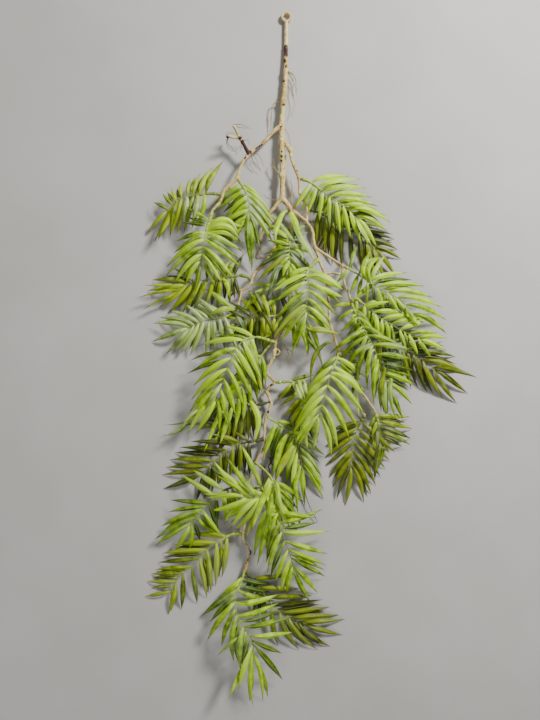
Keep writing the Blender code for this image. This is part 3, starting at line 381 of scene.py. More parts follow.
def bark_material():
    """Tan bark coat: mottled, green-tinted, streaked, with maroon chips where it is knocked off."""
    shader = Shader("bark_coat", 0.72, 0.3)
    broad = shader.noise(26.0, 4.0)
    medium = shader.noise(120.0, 5.0, 0.62)
    fine = shader.noise(700.0, 4.0)
    colour = shader.spread(broad, 0.35, 0.65, *BARK_TANS)
    colour = shader.spread(medium, 0.50, 0.68, colour, BARK_BROWN)
    green = shader.ramp(shader.noise(17.0, 3.0, 0.5), 0.48, 0.68)
    colour = shader.cover(colour, green, 0.5, BARK_GREEN)
    specks = shader.ramp(fine, 0.60, 0.72)
    colour = shader.cover(colour, specks, 0.45, BARK_SPECKS)
    chip = shader.value("chip")
    chipped = shader.ramp(shader.maths("ADD", chip, shader.times(medium, 0.6)), 0.72, 0.86)
    maroon = shader.spread(fine, 0.4, 0.6, *MAROONS)
    colour = shader.mix(chipped, colour, maroon)
    height = shader.maths("ADD", shader.times(medium, 1.2), shader.times(fine, 0.5))
    height = shader.maths("SUBTRACT", height, shader.times(chipped, 0.8))
    return shader.finish(colour, height, 0.6, 0.0009)


def eye_material():
    """The steel eye and rod under brushed-on tan paint, with worn patches."""
    shader = Shader("eye_coat", 0.42, 0.5)
    broad = shader.noise(90.0, 4.0)
    fine = shader.noise(900.0, stretch=(1.0, 0.25, 1.0))
    colour = shader.spread(broad, 0.35, 0.65, *EYE_TANS)
    colour = shader.spread(fine, 0.56, 0.70, colour, EYE_STREAKS)
    colour = shader.spread(shader.noise(240.0), 0.62, 0.70, colour, EYE_WORN)
    height = shader.maths("ADD", broad, shader.times(fine, 0.5))
    return shader.finish(colour, height, 0.4, 0.0005)


def hair_material():
    """Dry rootlets and hairs, straw to dark brown."""
    shader = Shader("rootlet", 0.7, 0.25)
    tone = shader.value("tint")
    patches = shader.noise(240.0)
    straw = shader.spread(patches, 0.35, 0.65, *STRAWS)
    dark = shader.spread(patches, 0.35, 0.65, *DARK_HAIRS)
    return shader.finish(shader.mix(tone, straw, dark), patches, 0.4, 0.0004)


def floor_material():
    shader = Shader("pale_floor", 0.75, 0.2)
    clouds = shader.noise(3.0, 4.0, 0.55)
    colour = shader.spread(clouds, 0.3, 0.7, *FLOOR_GREYS)
    grain = shader.noise(180.0)
    return shader.finish(colour, grain, 0.15, 0.0005)


MATERIALS = {tone: leaf_material("leaf_" + tone, *colours) for tone, colours in TONES.items()}
MATERIALS.update(stalk=stalk_material(), tape=tape_material(), bark=bark_material(),
                 eye=eye_material(), hair=hair_material())


# Reading a frond back from its solid


branch_corners = [v.co.copy() for v in nodes["branch"].data.vertices]
branch_faces = [tuple(p.vertices) for p in nodes["branch"].data.polygons]
bark_tree = BVHTree.FromPolygons(branch_corners, branch_faces)


class Solid:
    """A node's mesh with its repeated corners joined, and who neighbours whom."""

    def __init__(self, node):
        mesh = nodes[node].data
        world = nodes[node].matrix_world
        found = {}
        self.points = []
        index = []
        for vertex in mesh.vertices:
            place = world @ vertex.co
            key = tuple(round(c / SAME_PLACE) for c in place)
            if key not in found:
                found[key] = len(self.points)
                self.points.append(place)
            index.append(found[key])
        self.neighbours = [set() for _ in self.points]
        for polygon in mesh.polygons:
            corners = [index[v] for v in polygon.vertices]
            for a, b in zip(corners, corners[1:] + corners[:1]):
                if a != b:
                    self.neighbours[a].add(b)
                    self.neighbours[b].add(a)

    def tips(self):
        """The points of the leaflets: corners with three neighbours, all far off."""
        result = []
        for i, around in enumerate(self.neighbours):
            if len(around) == BLADE_CORNERS:
                nearest = min((self.points[j] - self.points[i]).length for j in around)
                if nearest > LONG_EDGE:
                    result.append(i)
        return result

    def rings(self, tip):
        """A leaflet's sections from its tip inwards, while each next one has three corners."""
        seen = {tip}
        ring = set(self.neighbours[tip])
        result = []
        while len(ring) == BLADE_CORNERS:
            result.append(sorted(ring))
            seen |= ring
            following = set()
            for i in ring:
                following |= self.neighbours[i] - seen
            ring = following
        return result


def ordered(points):
    """Three corners of a blade's section as one edge, the ridge, the other edge."""
    spans = [((points[(k + 1) % 3] - points[(k + 2) % 3]).length, k) for k in range(3)]
    ridge = max(spans)[1]
    return points[(ridge + 1) % 3], points[ridge], points[(ridge + 2) % 3]


class Blade:
    """A leaflet's middle line, and its half widths and width directions along it."""

    def __init__(self, centres, halves, acrosses, tint):
        self.centres = centres
        self.halves = halves
        self.acrosses = acrosses
        self.tint = tint

    def evenly(self, steps):
        """Points and width directions at even distances."""
        points = at_even_places(smooth(self.centres, CURVE_STEPS), steps)
        return points, at_even_places(self.acrosses, steps, self.centres)

    def half_way(self, other, generator):
        """A leaflet between this one and the next on the same side of the rib, its low tint painting it
        dark as shade.
        """
        steps = len(self.centres)
        points, acrosses = self.evenly(steps)
        beside, others = other.evenly(steps)
        lean = generator.uniform(*EXTRA_LEAN)
        drop = generator.uniform(*EXTRA_DROP)
        shorter = generator.uniform(*EXTRA_LENGTH)
        centres = []
        for k in range(steps + 1):
            centre = points[k].lerp(beside[k], lean)
            centre.z = max(centre.z - drop * eased(k / steps * DROP_STEEPNESS), LOWEST_EXTRA)
            centres.append(centre)
        centres = [centres[0].lerp(c, shorter) for c in centres]
        between = []
        for a, b in zip(acrosses, others):
            between.append((a + b).normalized() if a.dot(b) > 0 else a)
        half = (max(self.halves) + max(other.halves)) / 2
        return Blade(centres, [half], between, generator.uniform(0, EXTRA_SHADE_TINT))


def smooth(points, steps):
    """A smooth curve through the points, with that many steps between each two."""
    ends = [points[0] * 2 - points[1]] + list(points) + [points[-1] * 2 - points[-2]]
    curve = []
    for i in range(1, len(ends) - 2):
        p0, p1, p2, p3 = ends[i - 1:i + 3]
        for k in range(steps):
            t = k / steps
            curve.append(0.5 * (2 * p1 + (p2 - p0) * t + (2 * p0 - 5 * p1 + 4 * p2 - p3) * t * t
                                + (3 * p1 - p0 - 3 * p2 + p3) * t ** 3))
    curve.append(points[-1].copy())
    return curve


def lengths(curve):
    total = [0.0]
    for a, b in zip(curve, curve[1:]):
        total.append(total[-1] + (b - a).length)
    return total


def value_at(values, stations, distance):
    """The vector at a distance, of vectors given at the stations."""
    for i in range(1, len(values)):
        if distance <= stations[i] or i == len(values) - 1:
            share = (distance - stations[i - 1]) / max(stations[i] - stations[i - 1], LEAST_LENGTH)
            return values[i - 1].lerp(values[i], min(share, 1.0))


def at_even_places(values, steps, line=None):
    """The vectors at even distances along a line, which is the vectors' own if none is given."""
    stations = lengths(line or values)
    return [value_at(values, stations, stations[-1] * k / steps) for k in range(steps + 1)]


def root_inwards(centres):
    """Start a line a little inside what carries it."""
    centres[0] = centres[0] + (centres[0] - centres[1]).normalized() * ROOT_DEPTH


def part_way(values, share):
    place = share * (len(values) - 1)
    i = min(int(place), len(values) - 2)
    return values[i] + (values[i + 1] - values[i]) * (place - i)


def middle(points):
    return sum(points, Vector()) / len(points)


def tangents(points):
    last = len(points) - 1
    return [(points[min(i + 1, last)] - points[max(i - 1, 0)]).normalized() for i in range(last + 1)]


def far_pair(points):
    """The two points that are furthest apart, with the highest of the others between them."""
    pairs = [((points[i] - points[j]).length, i, j) for i in range(len(points)) for j in range(i)]
    _, i, j = max(pairs)
    rest = [points[k] for k in range(len(points)) if k not in (i, j)]
    return points[i], max(rest, key=lambda p: p.z), points[j]


def rib_groups(solid, spare):
    """Corners of a rib's sections: the spare corners that are joined by short edges."""
    groups = []
    seen = set()
    for start in sorted(spare):
        if start in seen:
            continue
        seen.add(start)
        group = [start]
        for i in group:
            for j in sorted(solid.neighbours[i]):
                if j in spare and j not in seen and (solid.points[j] - solid.points[i]).length < RIB_EDGE:
                    seen.add(j)
                    group.append(j)
        if len(group) == RIB_CORNERS:
            groups.append(group)
    return groups


def rib_sections(solid, groups):
    """The sections in order from the foot at the bark to the rib's end."""
    owner = {i: k for k, group in enumerate(groups) for i in group}
    beside = {k: set() for k in range(len(groups))}
    for k, group in enumerate(groups):
        for i in group:
            beside[k] |= {owner[j] for j in solid.neighbours[i] if j in owner} - {k}
    middles = [middle([solid.points[i] for i in group]) for group in groups]
    ends = [k for k in beside if len(beside[k]) == 1]
    order = [min(ends, key=lambda k: bark_tree.find_nearest(middles[k])[3])]
    while len(order) < len(groups):
        following = [k for k in beside[order[-1]] if k not in order]
        if not following:
            break
        order.append(min(following, key=lambda k: (middles[k] - middles[order[-1]]).length))
    return [[solid.points[i] for i in groups[k]] for k in order]


def read_end_blade(points, end, generator):
    """The leaflet at a rib's end, from the corners that are left over."""
    tip = max(points, key=lambda p: (p - end).length)
    way = (tip - end).normalized()
    others = sorted((p for p in points if p is not tip), key=lambda p: (p - end).dot(way))
    clusters = [[others[0]]]
    for point in others[1:]:
        if (point - clusters[-1][-1]).dot(way) > LONG_EDGE:
            clusters.append([])
        clusters[-1].append(point)
    sections = [far_pair(cluster) for cluster in clusters if len(cluster) >= BLADE_CORNERS]
    return blade_of(sections[::-1], tip, end, generator)


def blade_of(sections, tip, root, generator):
    """A leaflet from its sections, given from the tip inwards."""
    centres = [tip] + [(a + b) / 2 * (1 - RIDGE_SHARE) + ridge * RIDGE_SHARE for a, ridge, b in sections]
    halves = [(a - b).length / 2 for a, _, b in sections]
    acrosses = [(b - a).normalized() for a, _, b in sections]
    acrosses.insert(0, acrosses[0])
    if root is not None:
        centres.append(root)
        acrosses.append(acrosses[-1])
    centres.reverse()
    halves.reverse()
    acrosses.reverse()
    along = tangents(centres)
    for i in range(1, len(acrosses)):
        if acrosses[i].dot(acrosses[i - 1]) < 0:
            acrosses[i] = -acrosses[i]
    if acrosses[-2].cross(along[-2]).z > 0:
        acrosses = [-a for a in acrosses]
    return Blade(centres, halves, acrosses, generator.random())


def read_frond(node):
    """A frond's rib sections, its side leaflets and its end leaflet, from its solid."""
    solid = Solid(node)
    generator = random.Random(node)
    blades = []
    taken = set()
    for tip in solid.tips():
        rings = solid.rings(tip)
        if len(rings) < LEAST_SECTIONS:
            continue
        root = [solid.points[i] for i in rings[-1]]
        ridge = ordered(root)[1]
        taken |= {tip} | {i for ring in rings[:-1] for i in ring}
        taken |= {i for i in rings[-1] if solid.points[i] == ridge}
        sections = [ordered([solid.points[i] for i in ring]) for ring in rings]
        blades.append(blade_of(sections, solid.points[tip], None, generator))
    spare = set(range(len(solid.points))) - taken
    groups = rib_groups(solid, spare)
    sections = rib_sections(solid, groups)
    left_over = spare - {i for group in groups for i in group}
    end_blade = None
    if left_over:
        spare_points = [solid.points[i] for i in sorted(left_over)]
        end_blade = read_end_blade(spare_points, middle(sections[-1]), generator)
    return sections, blades, end_blade


# Dressing a frond


def eased(value):
    value = min(max(value, 0.0), 1.0)
    return value * value * (3 - 2 * value)


def leaf_profile(share):
    """Half width of a leaflet along its length, from its foot to its point."""
    if share < WIDEST_SHARE:
        return FOOT_WIDTH + (1 - FOOT_WIDTH) * math.sin(math.pi / 2 * share / WIDEST_SHARE)
    falling = (share - WIDEST_SHARE) / (1 - WIDEST_SHARE)
    return math.cos(math.pi / 2 * min(falling, 1.0)) ** TIP_SHARPNESS


def sheet_faces():
    """A leaflet's faces: its closed foot, the strips between its rows and the fan at its point."""
    end = (BLADE_ROWS - 1) * LOOP
    faces = [tuple(range(LOOP))]
    for row in range(0, end, LOOP):
        for k in range(LOOP):
            a = row + k
            b = row + (k + 1) % LOOP
            faces.append((a, a + LOOP, b + LOOP, b))
    faces += [(end + k, end + LOOP, end + (k + 1) % LOOP) for k in range(LOOP)]
    return faces


SHEET_FACES = sheet_faces()


def sheet_row(centre, across, upward, half, share, phase, curl):
    """The corners round a leaflet's sheet at one place along it: over its top and back below."""
    fold = CREASE * half * eased(share / CREASE_START) * (1 - CREASE_FADE * share)
    top = []
    bottom = []
    for column in COLUMNS:
        side = abs(column)
        ripple = RIPPLE * half * side ** 2 * math.sin(phase + column)
        rise = fold * (CREASE_LEVEL - side) + ripple + curl * half * side ** 2
        rise += PLEAT * math.cos(math.pi * BLADE_COLUMNS * column) * (1 - side)
        spot = centre + across * (half * column) + upward * rise
        thick = BLADE_THICKNESS / 2 * (1 - EDGE_THINNING * side)
        top.append(spot + upward * thick)
        if side < 1:
            bottom.append(spot - upward * thick)
    return top + bottom[::-1]


def sheet_mesh(blade, generator, narrowing=1.0):
    """Corners and painted values of one leaflet: a thin creased sheet, closed all round."""
    stations = lengths(blade.centres)
    widest = max(blade.halves) * narrowing
    wave = generator.uniform(0, 2 * math.pi)
    waves = generator.uniform(*WAVES)
    curl = generator.uniform(-EDGE_CURL, EDGE_CURL)
    centres = at_even_places(smooth(blade.centres, CURVE_STEPS), BLADE_ROWS)
    along = tangents(centres)
    vertices = []
    values = []
    for i in range(BLADE_ROWS):
        share = i / BLADE_ROWS
        half = max(widest * leaf_profile(share), LEAST_HALF_WIDTH)
        across = value_at(blade.acrosses, stations, share * stations[-1])
        across = (across - along[i] * across.dot(along[i])).normalized()
        phase = 2 * math.pi * waves * share + wave
        vertices += sheet_row(centres[i], across, along[i].cross(across), half, share, phase, curl)
        values += [(share, column, 0.0) for column in COLUMNS]
        values += [(share, column, 1.0) for column in reversed(COLUMNS[1:-1])]
    vertices.append(centres[-1])
    values.append((1.0, 0.0, POINT_UNDER))
    for vertex in vertices:
        vertex.z = max(vertex.z, FLOOR_GAP)
    return vertices, values


def tube_mesh(centres, radii, sides, steps=1):
    """Corners, faces and share along of a round closed tube."""
    if steps > 1:
        count = (len(centres) - 1) * steps
        radii = [part_way(radii, i / count) for i in range(count + 1)]
        centres = smooth(centres, steps)
    along = tangents(centres)
    side = along[0].orthogonal().normalized()
    vertices = []
    for i, centre in enumerate(centres):
        side = (side - along[i] * side.dot(along[i])).normalized()
        third = along[i].cross(side)
        for k in range(sides):
            angle = 2 * math.pi * k / sides
            vertices.append(centre + (side * math.cos(angle) + third * math.sin(angle)) * radii[i])
    faces = [tuple(reversed(range(sides)))]
    for i in range(len(centres) - 1):
        for k in range(sides):
            a = i * sides + k
            b = i * sides + (k + 1) % sides
            faces.append((a, b, b + sides, a + sides))
    faces.append(tuple(range((len(centres) - 1) * sides, len(centres) * sides)))
    shares = [i / (len(centres) - 1) for i in range(len(centres)) for _ in range(sides)]
    return vertices, faces, shares


class Pile:
    """Meshes gathered into one piece, with painted values on their corners."""

    def __init__(self):
        self.vertices = []
        self.faces = []
        self.materials = []
        self.values = {"along": [], "across": [], "tint": [], "under": []}

    def add(self, vertices, faces, material=0, along=0.0, across=0.0, tint=0.0, under=0.0):
        first = len(self.vertices)
        self.vertices += vertices
        self.faces += [tuple(first + i for i in face) for face in faces]
        self.materials += [material] * len(faces)
        for name, given in (("along", along), ("across", across), ("tint", tint), ("under", under)):
            self.values[name] += given if isinstance(given, list) else [given] * len(vertices)

    def add_sheet(self, vertices, values, tint):
        along, across, under = [list(column) for column in zip(*values)]
        self.add(vertices, SHEET_FACES, 0, along, across, tint, under)

    def piece(self, name, materials, sharp=None):
        made = make_piece(name, self.vertices, self.faces, materials[0])
        for material in materials[1:]:
            made.data.materials.append(material)
        made.data.polygons.foreach_set("material_index", self.materials)
        for key, values in self.values.items():
            paint(made.data, key, values)
        if sharp:
            made.data.set_sharp_from_angle(angle=math.radians(sharp))
        return made


class Shape:
    """A closed mesh with its box, for tests of whether two shapes cross."""

    def __init__(self, vertices, faces):
        self.low = [min(v[k] for v in vertices) for k in range(3)]
        self.high = [max(v[k] for v in vertices) for k in range(3)]
        self.tree = BVHTree.FromPolygons(vertices, faces)

    def meets(self, other):
        for low, high, other_low, other_high in zip(self.low, self.high, other.low, other.high):
            if low > other_high or other_low > high:
                return False
        return bool(self.tree.overlap(other.tree))


def stalk_of(sections):
    """The middle line and the radii of a rib."""
    radii = [(section[0] - section[2]).length / 2 * STALK_FILL for section in sections]
    return [middle(section) for section in sections], radii


def sorted_sides(sections, blades):
    """The blades on each side of the rib, in order from its foot."""
    middles = [middle(section) for section in sections]
    along = tangents(middles)
    sides = {1: [], -1: []}
    for blade in blades:
        root = blade.centres[0]
        nearest = min(range(len(middles)), key=lambda i: (middles[i] - root).length)
        away = root - middles[nearest]
        hand = 1 if away.dot(UP.cross(along[nearest])) > 0 else -1
        sides[hand].append((nearest + away.dot(along[nearest]), blade))
    for hand in sides:
        sides[hand] = [blade for _, blade in sorted(sides[hand], key=lambda pair: pair[0])]
    return sides


def dress_frond(node, tone):
    """The fine piece for one frond: stalk, its leaflets, and more leaflets between them."""
    sections, blades, _ = fronds[node]
    generator = random.Random(node + " leaves")
    pile = Pile()
    vertices, faces, shares = tube_mesh(*stalk_of(sections), STALK_SIDES, STALK_STEPS)
    pile.add(vertices, faces, 1, along=shares)
    for vertices, values, tint in main_sheets[node]:
        pile.add_sheet(vertices, values, tint)
    for side in sorted_sides(sections, blades).values():
        for near, far in zip(side, side[1:]):
            if generator.random() > EXTRA_SHARE.get(node, USUAL_EXTRA_SHARE):
                continue
            if (near.centres[0] - far.centres[0]).length < MOST_PAIR_GAP:
                add_extra(pile, near, far, generator)
    return pile.piece("leaves_" + node, [MATERIALS[tone], MATERIALS["stalk"]], SHARP_DEGREES)


def add_extra(pile, near, far, generator):
    """One more leaflet between two, where a draw of its place clears all others."""
    for _ in range(EXTRA_TRIES):
        blade = near.half_way(far, generator)
        vertices, values = sheet_mesh(blade, generator, EXTRA_NARROWING)
        shape = Shape(vertices, SHEET_FACES)
        if any(other.meets(shape) for other in placed):
            continue
        placed.append(shape)
        pile.add_sheet(vertices, values, blade.tint)
        return


def sheets_of(node):
    """The meshes of a frond's own leaflets, each noted among the placed shapes."""
    _, blades, end_blade = fronds[node]
    generator = random.Random(node + " sheets")
    sheets = []
    for blade in blades + ([end_blade] if end_blade else []):
        root_inwards(blade.centres)
        blade.tint = min(blade.tint + TINT_SHIFT.get(node, 0.0), 1.0)
        vertices, values = sheet_mesh(blade, generator, BLADE_NARROWING)
        placed.append(Shape(vertices, SHEET_FACES))
        sheets.append((vertices, values, blade.tint))
    return sheets


# Loose leaves

LEAF_TRIES = 12
RAISE_STEP = 0.003
TOP_MARGIN = 0.002
ROOT_NEAR = 2.5
ARCH_SPAN = (0.15, 0.7)
# The leaves on top of the fronds, by tone: width in grid steps, arch and tip height
# in mm, share of the young tint, then grid places from the root to the tip
LOOSE_LEAVES = {
    "bright": (
        (5.5, 10, 50, 0.9, (243, 492), (235, 483), (224, 474), (211, 458)),
        (4.2, 8, 45, 0.8, (245, 496), (232, 495), (220, 496.5), (203, 498.5)),
        (5.2, 10, 40, 0.9, (252, 498), (240, 504), (230, 513), (224, 525)),
        (5.6, 12, 42, 1.0, (258, 500), (248, 506), (239, 516), (230, 529)),
        (9.0, 12, 45, 1.0, (270, 478), (268, 489), (268, 503), (269.5, 517)),
        (6.6, 10, 40, 0.9, (274, 486), (275, 503), (277, 520), (281, 539)),
        (4.8, 10, 35, 0.8, (277, 484), (279, 500), (284, 515), (291, 530)),
        (4.8, 8, 28, 0.8, (299, 450), (294.5, 468), (293, 490), (293.5, 513)),
        (8.5, 12, 70, 0.9, (308, 276), (320, 276.5), (333, 283), (344, 291)),
        (5.5, 10, 62, 0.7, (308, 283), (320, 287.5), (333, 293), (346, 299)),
        (4.6, 14, 60, 0.5, (369, 283), (363.5, 273), (366, 263), (380, 256)),
        (4.4, 12, 58, 0.7, (371, 283), (368, 272), (372, 263), (382, 255)),
        (4.4, 10, 52, 0.6, (372, 284), (374, 273), (379, 264), (386, 253)),
        (6.5, 12, 75, 0.8, (291, 213), (295, 222), (298, 230), (300, 239)),
        (5.0, 12, 70, 0.6, (283, 213), (278, 224), (275.5, 234), (276, 246)),
        (4.0, 8, 62, 0.7, (288, 261), (285.5, 267), (283.5, 273), (282.5, 279)),
        (5.2, 12, 60, 0.9, (359, 311), (369, 306), (380, 303), (393, 301)),
        (4.2, 8, 45, 0.9, (375, 314), (377, 323), (378, 332), (378.5, 342)),
        (4.8, 8, 35, 0.8, (222, 276), (226.4, 283), (228.2, 290), (227.4, 298)),
        (6.0, 14, 50, 1.0, (207, 230), (218, 220.5), (230, 221.5), (240, 236)),
        (6.2, 12, 46, 0.9, (207, 232), (219, 225.5), (231, 228.5), (240.5, 241)),
        (6.0, 10, 42, 0.8, (206, 235), (219, 231), (231, 234.5), (240, 244)),
        (7.0, 12, 60, 1.0, (332, 373), (344, 377.5), (355, 385), (365, 398)),
        (5.8, 8, 40, 0.9, (250, 401), (256.6, 412), (258.4, 425), (253, 446)),
        (4.0, 8, 62, 0.8, (276, 242), (280.5, 247), (284, 252), (286, 258)),
        (3.6, 8, 58, 0.6, (277, 251), (281, 256), (284.4, 260), (287, 265)),
        (4.0, 6, 40, 0.3, (297, 322), (302, 332), (306, 344), (307, 358)),
        (3.6, 6, 42, 0.4, (292, 322), (293.6, 334), (294, 346), (292, 357)),
        (4.0, 8, 40, 0.5, (221, 412), (214, 427), (208, 442), (202.5, 456)),
        (4.2, 8, 40, 0.3, (227, 418), (223, 427), (217, 437), (211.4, 446)),
        (4.2, 8, 32, 0.7, (252, 651), (250.5, 668), (250.5, 688), (253, 707)),
        (4.2, 8, 32, 0.6, (254, 651), (259, 667), (262, 685), (263, 703)),
        (3.2, 6, 20, 0.6, (232, 642), (228, 646), (223, 650), (217, 656)),
    ),
    "fresh": (
        (8.0, 6, 25, 0.6, (268, 512), (262, 526), (257, 542), (254, 557)),
        (5.6, 6, 20, 0.4, (270, 516), (265, 531), (262, 546), (257, 566)),
        (7.0, 8, 30, 0.5, (286, 437), (280, 448), (277, 460), (272, 478)),
        (4.4, 6, 22, 0.5, (300, 468), (296, 484), (297, 500), (298, 516)),
        (3.8, 8, 50, 0.4, (366, 281), (363.5, 274), (364, 268), (367, 262)),
        (6.2, 12, 65, 0.3, (286, 250), (291, 260), (298, 268), (306, 276)),
        (4.2, 8, 40, 0.6, (307, 312), (303, 325), (298, 339), (291, 353)),
        (4.2, 6, 40, 0.7, (386, 319), (388, 328), (389, 338), (391, 349)),
        (5.0, 8, 42, 0.4, (352, 317), (360, 328), (368, 339), (378, 350)),
        (5.8, 8, 35, 0.2, (249, 214), (247.5, 232), (248.6, 249), (250.5, 266)),
        (6.0, 8, 35, 0.6, (233, 309), (224, 302), (214, 294), (204, 288)),
        (4.6, 8, 45, 0.5, (242, 311), (252, 300), (262, 292), (274, 286)),
        (4.2, 8, 44, 0.6, (271, 286), (262, 290), (253, 292.6), (243, 295)),
        (4.2, 8, 42, 0.4, (276, 299), (267, 305), (258, 311), (249, 318)),
        (3.6, 8, 48, 0.5, (295, 280), (296, 289), (299, 298), (304, 307)),
        (3.6, 8, 44, 0.3, (289, 293), (290, 301), (289.6, 309), (291, 318)),
        (4.4, 6, 40, 0.5, (364, 350), (361, 360), (358, 371), (357, 383)),
        (4.4, 6, 38, 0.4, (371, 352), (368, 364), (367, 377), (368, 391)),
        (4.6, 6, 36, 0.6, (378, 360), (375, 374), (373.6, 389), (374, 406)),
        (4.4, 6, 34, 0.5, (391, 378), (390, 391), (392, 405), (396, 420)),
        (4.4, 6, 40, 0.3, (353, 336), (346, 341), (338, 347), (329, 354)),
        (4.2, 6, 38, 0.2, (355, 343), (349, 349), (343, 356), (337, 364)),
        (4.2, 6, 34, 0.4, (358, 351), (354, 357), (349, 363), (344, 370)),
        (4.4, 6, 36, 0.2, (309, 339), (315, 347), (320, 357), (323, 369)),
        (2.2, 6, 22, 0.3, (190, 424), (181, 431), (170, 435), (160, 434)),
        (4.2, 8, 52, 0.1, (229, 359), (215, 363), (201, 367), (185.6, 374.5)),
        (5.0, 6, 40, 0.6, (204.5, 197), (204, 206), (201, 215), (197, 224)),
    ),
    "olive": (
        (5.0, 6, 30, 0.7, (257, 507), (253, 518), (249, 528), (245, 541)),
        (7.5, 8, 28, 0.7, (294, 447), (286, 458), (280, 469), (274, 484)),
        (4.6, 8, 45, 0.9, (303, 306), (292, 315), (282, 326), (271, 341)),
        (4.6, 8, 42, 0.7, (305, 309), (296, 320), (288, 331), (279, 345)),
        (4.2, 6, 45, 0.5, (351, 304), (343, 304), (336, 306), (329, 309)),
        (4.0, 6, 40, 0.8, (309, 329), (320, 328.5), (331, 332), (341, 334)),
        (5.0, 8, 32, 0.9, (234, 308), (225, 308.6), (215, 312), (206, 317)),
        (4.4, 6, 50, 0.1, (266, 316), (262, 306), (257, 297), (253, 287)),
        (4.2, 6, 38, 0.6, (257, 369), (259, 379), (261.4, 389), (264, 398)),
        (4.2, 6, 36, 0.6, (281, 318), (275, 328), (267, 336), (258, 342)),
        (4.6, 6, 34, 0.3, (385, 368), (382, 382), (382, 396), (384, 412)),
        (4.2, 6, 34, 0.2, (325, 344), (317, 352), (312, 364), (310, 386)),
        (4.4, 6, 44, 0.5, (310, 330), (320, 330.6), (331, 332), (343, 335)),
        (4.8, 8, 50, 0.1, (267, 317), (263, 308), (258, 298), (252.5, 287)),
        (4.6, 6, 38, 0.2, (178, 201), (174, 210), (172, 222), (170, 236)),
        (3.4, 6, 34, 0.7, (182, 286), (169, 285), (157, 285), (144, 285.6)),
        (3.4, 6, 34, 0.5, (180, 289), (165, 291), (150, 294), (137, 298)),
        (3.2, 6, 28, 0.4, (170, 296), (160, 300), (151, 305), (142, 310)),
    ),
    # Pale leaves: partly a paler print, partly painted highlight where the blades catch the light
    "pale": (
        (5.4, 14, 70, 0.9, (293, 222), (301, 238), (310, 252), (317, 268)),
        (5.0, 10, 70, 0.7, (288, 248), (295, 249), (301, 254), (304, 261)),
        (5.6, 8, 52, 0.1, (278, 268), (274, 279), (270, 290), (266, 301)),
        (6.4, 8, 35, 0.0, (234, 310), (239, 320), (245, 332), (250, 344)),
        (5.2, 12, 50, 1.0, (293, 381), (296.5, 388), (300, 395), (304, 403)),
        (4.6, 10, 48, 0.8, (298, 381), (300.5, 388), (303, 394), (305.5, 401)),
        (4.2, 10, 46, 0.9, (303, 381), (305, 387), (306.4, 393), (307.6, 399)),
        (6.0, 8, 42, 0.3, (250, 340), (254, 351), (256, 361), (257, 373)),
        (4.8, 10, 66, 0.6, (274, 218), (282, 227), (290, 236), (297, 245)),
        (3.8, 6, 38, 0.7, (356.6, 394), (357.4, 402), (358, 410), (359, 419)),
        (3.0, 8, 26, 0.4, (192, 414), (183, 426), (172, 433), (158, 438.5)),
        (6.6, 8, 58, 0.6, (246, 341), (250, 350), (254, 360), (255, 373)),
        (4.4, 8, 64, 0.5, (222, 384), (216, 392), (210, 401), (205, 411)),
        (4.6, 8, 62, 0.4, (225, 384), (226, 396), (226.6, 408), (227, 420)),
        (5.0, 6, 40, 0.4, (187, 199), (186, 206), (184, 214), (182.5, 222)),
        (5.0, 6, 40, 0.5, (197.5, 198), (196.6, 206), (194.6, 214), (192, 223)),
    ),
    # Some shade leaves are dark sheets laid where there is only shadow among the fronds: painted shade
    "shade": (
        (4.2, 8, 60, 0.8, (284, 256), (275, 264), (266, 272), (256, 283)),
        (5.4, 4, 34, 0.0, (283, 298), (286, 307), (287, 316), (290, 327)),
        (5.4, 4, 32, 0.1, (291, 301), (287, 311), (283, 321), (277, 331)),
        (5.0, 4, 30, 0.2, (262, 312), (268, 320), (272, 329), (273, 339)),
        (4.8, 4, 26, 0.4, (352, 352), (350, 364), (346, 374), (345, 386)),
        (4.8, 4, 26, 0.6, (358, 362), (357, 376), (353, 390), (352, 403)),
        (2.2, 6, 24, 0.8, (191, 419), (182, 423), (173, 424.4), (163, 425)),
        (4.2, 6, 44, 0.5, (229, 352), (216, 353), (203, 355), (189, 361)),
    ),
}


def loose_leaves(tone):
    """The loose leaves of one tone, each rooted on the nearest stalk and raised until it clears the
    others, else where it crosses fewest.
    """
    generator = random.Random("loose " + tone)
    pile = Pile()
    for width, arch, tip_height, tint, *places in LOOSE_LEAVES[tone]:
        root = min(root_places, key=lambda place: math.dist(grid_of(place), places[0]))
        state = generator.getstate()
        tries = []
        for k in range(LEAF_TRIES):
            generator.setstate(state)
            height = arch / MM_PER_M + RAISE_STEP * k
            blade = loose_blade(root, places, width, height, tip_height / MM_PER_M, tint)
            vertices, values = sheet_mesh(blade, generator)
            if max(vertex.z for vertex in vertices) > cad_high[2] + TOP_MARGIN:
                break
            shape = Shape(vertices, SHEET_FACES)
            crossed = sum(other.meets(shape) for other in placed)
            tries.append((crossed, k, vertices, values, shape))
            if crossed == 0:
                break
        _, _, vertices, values, shape = min(tries, key=lambda t: t[:2])
        placed.append(shape)
        pile.add_sheet(vertices, values, tint)
    return pile.piece("loose_leaves_" + tone, [MATERIALS[tone]], SHARP_DEGREES)


def loose_blade(root, places, width, arch, tip_height, tint):
    """A leaflet through grid places, arched between its root's height and its tip's."""
    rooted = math.dist(grid_of(root), places[0]) < ROOT_NEAR
    centres = [root]
    for i, (x, y) in enumerate(places):
        if i == 0 and rooted:
            continue
        share = i / (len(places) - 1)
        bow = math.sin(math.pi * (ARCH_SPAN[0] + ARCH_SPAN[1] * share))
        centres.append(on_grid(x, y, root.z + (tip_height - root.z) * share + arch * bow))
    acrosses = [UP.cross(way).normalized() for way in tangents(centres)]
    return Blade(centres, [width * GRID_STEP / 2], acrosses, tint)


# Bark

